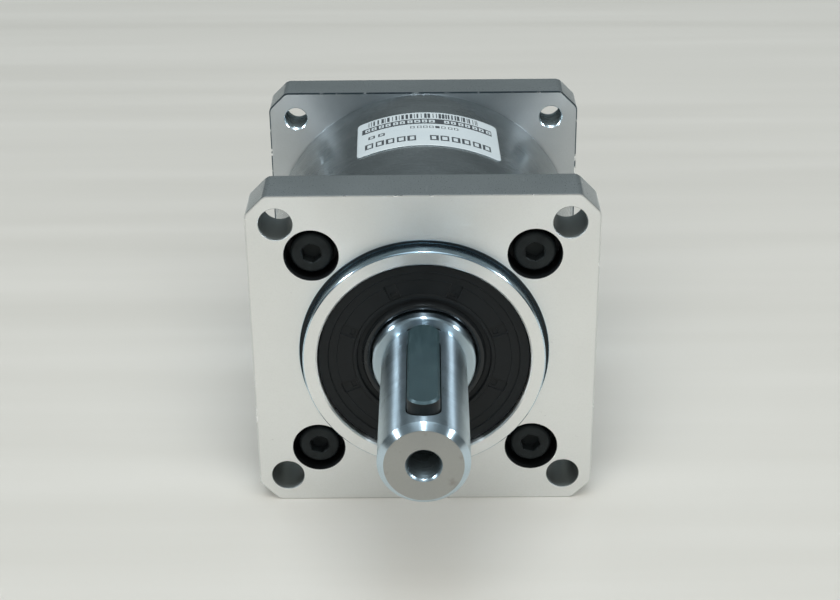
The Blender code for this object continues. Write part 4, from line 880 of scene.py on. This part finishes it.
def make_shaft():
    neck, groove = SHAFT_RADIUS - UNDERCUT, SEAT_RADIUS - RING_GROOVE_DEPTH
    outline = [
        (0, -SHAFT_REACH), (SHAFT_RADIUS - END_CHAMFER, -SHAFT_REACH),
        (SHAFT_RADIUS, END_CHAMFER - SHAFT_REACH), (SHAFT_RADIUS, -SEAT_START - 0.7 * MM),
        (neck, -SEAT_START - 0.5 * MM), (neck, -SEAT_START), (SEAT_RADIUS - SEAT_CHAMFER, -SEAT_START),
        (SEAT_RADIUS, SEAT_CHAMFER - SEAT_START), (SEAT_RADIUS, RING_GROOVE[0]),
        (groove, RING_GROOVE[0]), (groove, RING_GROOVE[1]), (SEAT_RADIUS, RING_GROOVE[1]),
        (SEAT_RADIUS, INNER_COLLAR_FRONT), (INNER_COLLAR, INNER_COLLAR_FRONT), (INNER_COLLAR, PLATE_FRONT),
        (PLATE_RADIUS, PLATE_FRONT), (PLATE_RADIUS, PLATE_BACK), (0, PLATE_BACK),
    ]
    shape = turned(outline, LARGE, closed=False, edge=0.07 * MM)
    keyway = extruded(key_outline(KEY_WIDTH + 2 * KEYWAY_GAP, KEY_LENGTH + 2 * KEYWAY_GAP),
                      -SHAFT_RADIUS - OVERCUT, -KEYWAY_FLOOR)
    bmesh.ops.transform(keyway, matrix=KEY_TURN, verts=keyway.verts)
    radius, mouth = CENTRE_HOLE_RADIUS, CENTRE_HOLE_MOUTH
    centre_hole = [
        (0, -SHAFT_REACH - OVERCUT), (radius + mouth + OVERCUT, -SHAFT_REACH - OVERCUT),
        (radius, mouth - SHAFT_REACH),
        *thread(2.46 * MM, mouth - SHAFT_REACH, CENTRE_HOLE_DEPTH - 0.5 * MM - SHAFT_REACH,
                1.0 * MM, 0.45 * MM),
        (2.4 * MM, CENTRE_HOLE_DEPTH - SHAFT_REACH), (0, CENTRE_HOLE_TIP - SHAFT_REACH),
    ]
    steps = [("-", keyway), ("-", solid(centre_hole, SMALL))]
    for angle in PLANET_ANGLES:
        post = around(POST_CIRCLE, angle + math.pi / 3)
        steps.append(("+", rod(POST_RADIUS, PLATE_BACK - OVERCUT, REAR_PLATE_FRONT - FACE_GAP, post)))
    for angle in PLANET_ANGLES:
        steps.append(("-", rod(*POST_SCREW, around(POST_CIRCLE, angle + math.pi / 3))))
        steps.append(("-", rod(*PIN_HOLE, around(CENTRE_DISTANCE, angle))))

    outside, end_face, bore, keyway_wall_shade = range(4)

    def finish(centre, normal):
        if centre.z > SHAFT_REACH - 0.02 * MM:
            return end_face
        from_axis = math.hypot(centre.x, centre.y)
        # the tapped centre hole gets the darker painted shade steel
        if from_axis < 2.95 * MM and centre.z > SHAFT_REACH - 14 * MM:
            return bore
        # keyway walls and floor get the near-black painted shade
        in_keyway = (abs(centre.x) < KEY_WIDTH / 2 + KEYWAY_GAP + 0.02 * MM
                     and KEYWAY_FLOOR - 0.1 * MM < centre.y)
        inside = from_axis < SHAFT_RADIUS - 0.06 * MM and SEAT_START < centre.z < SHAFT_REACH - 1.2 * MM
        return keyway_wall_shade if in_keyway and inside else outside

    piece("output_shaft_visual", combined(shape, *steps), "output_carrier", ["output_shaft"],
          [SHAFT_STEEL, END_STEEL, BORE_SHADE_STEEL, KEY_SHADE_SIDE], finish)
    key = extruded(key_outline(KEY_WIDTH, KEY_LENGTH), -KEY_TOP, -KEY_FLOOR, KEY_EDGE)
    # the key's sides, ends and underside get the near-black painted shade; its top keeps the blued steel
    piece("shaft_key_visual", key, "output_carrier", ["shaft_key"], [KEY_STEEL, KEY_SHADE_SIDE],
          lambda centre, normal: int(normal.z < 0.3), turn=KEY_TURN)


# ---------------- clamp and plug


def make_clamp():
    collar = turned([
        (COLLAR_RADIUS, COLLAR_FRONT), (COLLAR_RADIUS, COLLAR_BACK),
        (HUB_RADIUS + FIT_GAP, COLLAR_BACK), (HUB_RADIUS + FIT_GAP, COLLAR_FRONT),
    ], LARGE, edge=0.35 * MM)
    slit = block((SLIT, COLLAR_RADIUS, 8 * MM), (0, HUB_RADIUS - MM + COLLAR_RADIUS / 2, -COLLAR_MIDDLE))
    screw_hole = solid([
        (0, -COLLAR_RADIUS), (2.75 * MM, -COLLAR_RADIUS), (2.75 * MM, -4.2 * MM), (1.62 * MM, -4.2 * MM),
        (1.62 * MM, 6.4 * MM), (0, 6.4 * MM),
    ], FINE)
    bmesh.ops.transform(screw_hole, matrix=across(), verts=screw_hole.verts)
    piece("clamp_collar_visual", combined(collar, ("-", slit), ("-", screw_hole)), "sun_hub",
          ["clamp_collar"], [BLACK_STEEL])
    place = Matrix.Translation((4.3 * MM, CLAMP_HEIGHT, -COLLAR_MIDDLE))
    place = place @ Matrix.Rotation(math.pi / 2, 4, "Y")
    socket_screw("clamp_screw_visual", "clamp_screw", "sun_hub", 1.5 * MM, (2.6 * MM, 3.0 * MM), 10 * MM,
                 (2.5 * MM, 1.5 * MM), place, 0.5 * MM)
    outside = -FLANGE_SIDE / 2
    plug = turned([
        (0, outside + 0.3 * MM), (1.8 * MM, outside + 0.3 * MM), (1.8 * MM, outside + 4.3 * MM),
        (0, outside + 4.3 * MM),
    ], FINE, closed=False, edge=0.3 * MM)
    hexagon = extruded(circle(1.3 * MM, 6), outside - OVERCUT, outside + 2 * MM)
    piece("access_plug_visual", combined(plug, ("-", hexagon)), "housing", ["access_plug"],
          [BLACK_STEEL], turn=across())


def make_hub():
    bearing, hub_end = INPUT_BEARING[0], COLLAR_BACK + 0.1 * MM
    start, end = INPUT_BEARING[3] - FACE_GAP, INPUT_BEARING[3] + INPUT_BEARING[2] + FACE_GAP
    teeth_back = PLANET_BACK + 0.3 * MM
    body = turned([
        (0, teeth_back - 2 * MM), (3.6 * MM, teeth_back - 2 * MM), (3.6 * MM, RING_BACK),
        (bearing + 1.2 * MM, RING_BACK), (bearing + 1.2 * MM, start), (bearing, start), (bearing, end),
        (HUB_RADIUS, end), (HUB_RADIUS, hub_end), (0, hub_end),
    ], LARGE, closed=False, edge=0.12 * MM)
    teeth = extruded(gear_outline(SUN_TEETH, MODULE, 1.25 * MODULE, TOOTH_THINNING, 0),
                     PLANET_FRONT - 0.3 * MM, teeth_back)
    bore = solid([
        (0, MOTOR_BORE_START), (MOTOR_BORE, MOTOR_BORE_START), (MOTOR_BORE, hub_end - MOTOR_BORE_MOUTH),
        (MOTOR_BORE + MOTOR_BORE_MOUTH + OVERCUT, hub_end + OVERCUT), (0, hub_end + OVERCUT),
    ], SMALL)
    slit = block((SLIT, 21 * MM, 6.8 * MM), (0, 0, -(hub_end - 5.8 * MM + hub_end + MM) / 2))
    piece("sun_gear_hub_visual", combined(body, ("+", teeth), ("-", bore), ("-", slit)), "sun_hub",
          ["sun_gear_hub"], [GEAR_STEEL])


# ---------------- label


def make_label():
    """A paper label round the top of the case, with bars and blocks in place of any print."""
    (length, width), radius = LABEL_SIZE, CASE_RADIUS + 0.05 * MM
    (columns, rows), corner = LABEL_CELLS, LABEL_CORNER
    turn = Matrix.Rotation(LABEL_TILT, 2)
    marks = []  # (left, right, bottom, top, ink) in millimetres from the label's middle; ink 1 is dark

    def box(left, right, bottom, top, stroke=0.0):
        """A dark block, or a dark frame if it has a stroke."""
        marks.append((left, right, bottom, top, 1))
        if stroke:
            marks.append((left + stroke, right - stroke, bottom + stroke, top - stroke, 0))

    x = -10.6
    while x < 9.1:
        bar = random.choice((0.15, 0.15, 0.3, 0.45))
        box(x, x + bar, 5.1, 7.35)
        x += bar + random.choice((0.15, 0.3, 0.3, 0.45))
    box(-11.9, 11.5, 2.3, 4.6)
    for i in range(18):
        left = -11.3 + 1.28 * i
        if i != 10:
            marks.append((left, left + 0.92, 2.85, 4.1, 0))
            marks.append((left + 0.3, left + 0.62, 3.15, 3.8, 1))
    for i in range(8):
        box(-3.1 + 1.08 * i, -2.35 + 1.08 * i, 0.2, 1.25, 0.15 if i != 4 else 0.0)
    for i in range(12):
        left = -11.2 + 1.88 * i
        if i != 5:
            box(left, left + 1.5, -5.6, -3.3, 0.36)
    for left in (-10.6, -8.9):
        box(left, left + 1.2, -1.2, 0.1, 0.3)
    shape = bmesh.new()
    grid = []
    for row in range(rows + 1):
        line = []
        for column in range(columns + 1):
            flat = Vector(((column / columns - 0.5) * length, (row / rows - 0.5) * width))
            over_x, over_y = abs(flat.x) - (length / 2 - corner), abs(flat.y) - (width / 2 - corner)
            if over_x > 0 and over_y > 0 and math.hypot(over_x, over_y) > corner:
                shrink = corner / math.hypot(over_x, over_y)
                flat.x = math.copysign(length / 2 - corner + over_x * shrink, flat.x)
                flat.y = math.copysign(width / 2 - corner + over_y * shrink, flat.y)
            spot = turn @ Vector((flat.x, -flat.y))
            angle = LABEL_OFFSET + spot.x / radius
            line.append(shape.verts.new((radius * math.sin(angle), radius * math.cos(angle),
                                         spot.y - LABEL_MIDDLE)))
        grid.append(line)
    for row in range(rows):
        for column in range(columns):
            face = shape.faces.new((grid[row][column], grid[row][column + 1],
                                    grid[row + 1][column + 1], grid[row + 1][column]))
            x = ((column + 0.5) / columns - 0.5) * length / MM
            y = ((row + 0.5) / rows - 0.5) * width / MM
            for left, right, bottom, top, ink in marks:
                if left <= x < right and bottom <= y < top:
                    face.material_index = ink
    label = piece("label_visual", shape, "housing", ["label"], [label_finish(), ink_finish()])
    sheet = label.modifiers.new("sheet", "SOLIDIFY")
    sheet.thickness = 0.12 * MM
    sheet.offset = 1
    bpy.context.view_layer.update()


def label_finish():
    """Coated paper, a little blue."""
    look = Finish("label_paper", metallic=0.0)
    fibre = look.noise(look.scaled(2500), 4)
    cloud = look.noise(look.scaled(150), 3)
    colour = look.mix(cloud, (0.56, 0.64, 0.69), (0.66, 0.73, 0.76))
    return look.set(Base_Color=colour, Roughness=look.level(fibre, 0.32, 0.5),
                    Normal=look.bump(fibre, 0.004 * MM, 0.4))


def ink_finish():
    """Dark print, slightly uneven."""
    look = Finish("label_ink", metallic=0.0)
    fibre = look.noise(look.scaled(2500), 3)
    return look.set(Base_Color=look.mix(fibre, (0.035, 0.045, 0.055), (0.08, 0.09, 0.10)),
                    Roughness=look.level(fibre, 0.35, 0.5))


make_output_flange()
make_gear_case()
make_input_flange()
make_screws()
make_seal()
make_shaft()
make_clamp()
make_hub()
make_label()

for name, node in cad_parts.items():
    for kind, finish in (
        ("bearing_outer_ring", BEARING_STEEL), ("bearing_inner_ring", BEARING_STEEL), ("balls", BRASS),
        ("bush", BRASS), ("thrust_washer", BRASS), ("o_ring", RUBBER), ("planet_gear", GEAR_STEEL),
        ("planet_pin", BEARING_STEEL), ("carrier_screw", BLACK_STEEL), ("spacer", GEAR_STEEL),
        ("retaining_ring", GEAR_STEEL), ("carrier_rear_plate", GEAR_STEEL), ("spring", GEAR_STEEL),
    ):
        if kind in name:
            for slot in node.material_slots:
                slot.material = finish


# ---------------- stage, light and camera


def make_floor():
    """A plain pale bench top with a faint grain, just under the gearbox."""
    look = Finish("floor", metallic=0.0)
    wood = look.noise(look.scaled(4, 90, 4), 4)
    colour = look.mix(wood, (0.60, 0.585, 0.545), (0.68, 0.665, 0.63))
    look.set(Base_Color=colour, Roughness=look.level(wood, 0.45, 0.6))
    mesh = bpy.data.meshes.new("floor")
    size = 3.0
    level = cad_low.z - 0.02 * MM
    corners = [(-size, -size, level), (size, -size, level), (size, size, level), (-size, size, level)]
    mesh.from_pydata(corners, [], [(0, 1, 2, 3)])
    mesh.materials.append(look.material)
    placed("floor", mesh)


def area_light(name, place, size, power, colour, glossy):
    """A soft lamp facing the object: either broad light on dull things, or a glint in shiny ones."""
    light = bpy.data.lights.new(name, "AREA")
    light.shape = "SQUARE"
    light.size = size
    light.energy = power
    light.color = colour
    obj = placed(name, light)
    obj.location = place
    obj.rotation_euler = (-Vector(place)).to_track_quat("-Z", "Y").to_euler()
    obj.visible_camera = False
    obj.visible_glossy = glossy
    obj.visible_diffuse = not glossy


def make_world():
    """A dim room with a soft light overhead, pale where the camera looks straight at it."""
    world = bpy.data.worlds.new("studio")
    bpy.context.scene.world = world
    world.use_nodes = True
    nodes, links = world.node_tree.nodes, world.node_tree.links
    background = nodes["Background"]
    background.inputs["Strength"].default_value = 2.0
    split = nodes.new("ShaderNodeSeparateXYZ")
    links.new(nodes.new("ShaderNodeTexCoord").outputs["Generated"], split.inputs[0])
    height = nodes.new("ShaderNodeValToRGB")
    links.new(split.outputs["Z"], height.inputs["Fac"])
    stops = ((0.0, (0.030, 0.036, 0.038)), (0.15, (0.042, 0.050, 0.052)), (0.45, (0.074, 0.084, 0.085)),
             (0.86, (0.11, 0.13, 0.14)), (0.94, (0.66, 0.76, 0.82)), (1.0, (0.80, 0.92, 1.0)))
    elements = height.color_ramp.elements
    while len(elements) < len(stops):
        elements.new(0.5)
    for element, (position, colour) in zip(elements, stops):
        element.position, element.color = position, (*colour, 1)
    seen = nodes.new("ShaderNodeMix")
    seen.data_type = "RGBA"
    seen.inputs[7].default_value = (0.31, 0.31, 0.295, 1)
    links.new(nodes.new("ShaderNodeLightPath").outputs["Is Camera Ray"], seen.inputs[0])
    links.new(height.outputs["Color"], seen.inputs[6])
    links.new(seen.outputs[2], background.inputs["Color"])


def make_camera():
    """Looks at the output end from in front and above."""
    camera = bpy.data.cameras.new("camera")
    camera.lens, camera.sensor_width = 71.37, 36
    camera.clip_start, camera.clip_end = 0.01, 20
    obj = placed("camera", camera)
    pitch, roll_y, roll_z = 0.466, 0.008, -0.011
    turn = Matrix.Rotation(roll_z, 3, "Z") @ Matrix.Rotation(pitch, 3, "X") @ Matrix.Rotation(roll_y, 3, "Y")
    to_camera = turn @ Matrix(((1, 0, 0), (0, 0, -1), (0, 1, 0)))
    right, down, ahead = to_camera
    obj.matrix_world = Matrix.Translation((1.36 * MM, -252.95 * MM, 131.96 * MM)) @ Matrix(
        (right, -down, -ahead)).transposed().to_4x4()
    bpy.context.scene.camera = obj


make_floor()
make_world()
PALE, COOL = (1.0, 0.955, 0.89), (0.82, 0.92, 1.0)
area_light("fill", (0.0, -1.2, 1.4), 2.2, 42.0, PALE, False)
for name, place, power in (("glint_top", (0.0, -0.20, 1.18), 7.0),
                           ("glint_left", (-0.98, -0.18, 0.64), 9.0),
                           ("glint_right", (0.98, -0.18, 0.64), 9.0)):
    area_light(name, place, 0.06, power, COOL, True)
make_camera()
bpy.context.scene.view_settings.view_transform = "Standard"
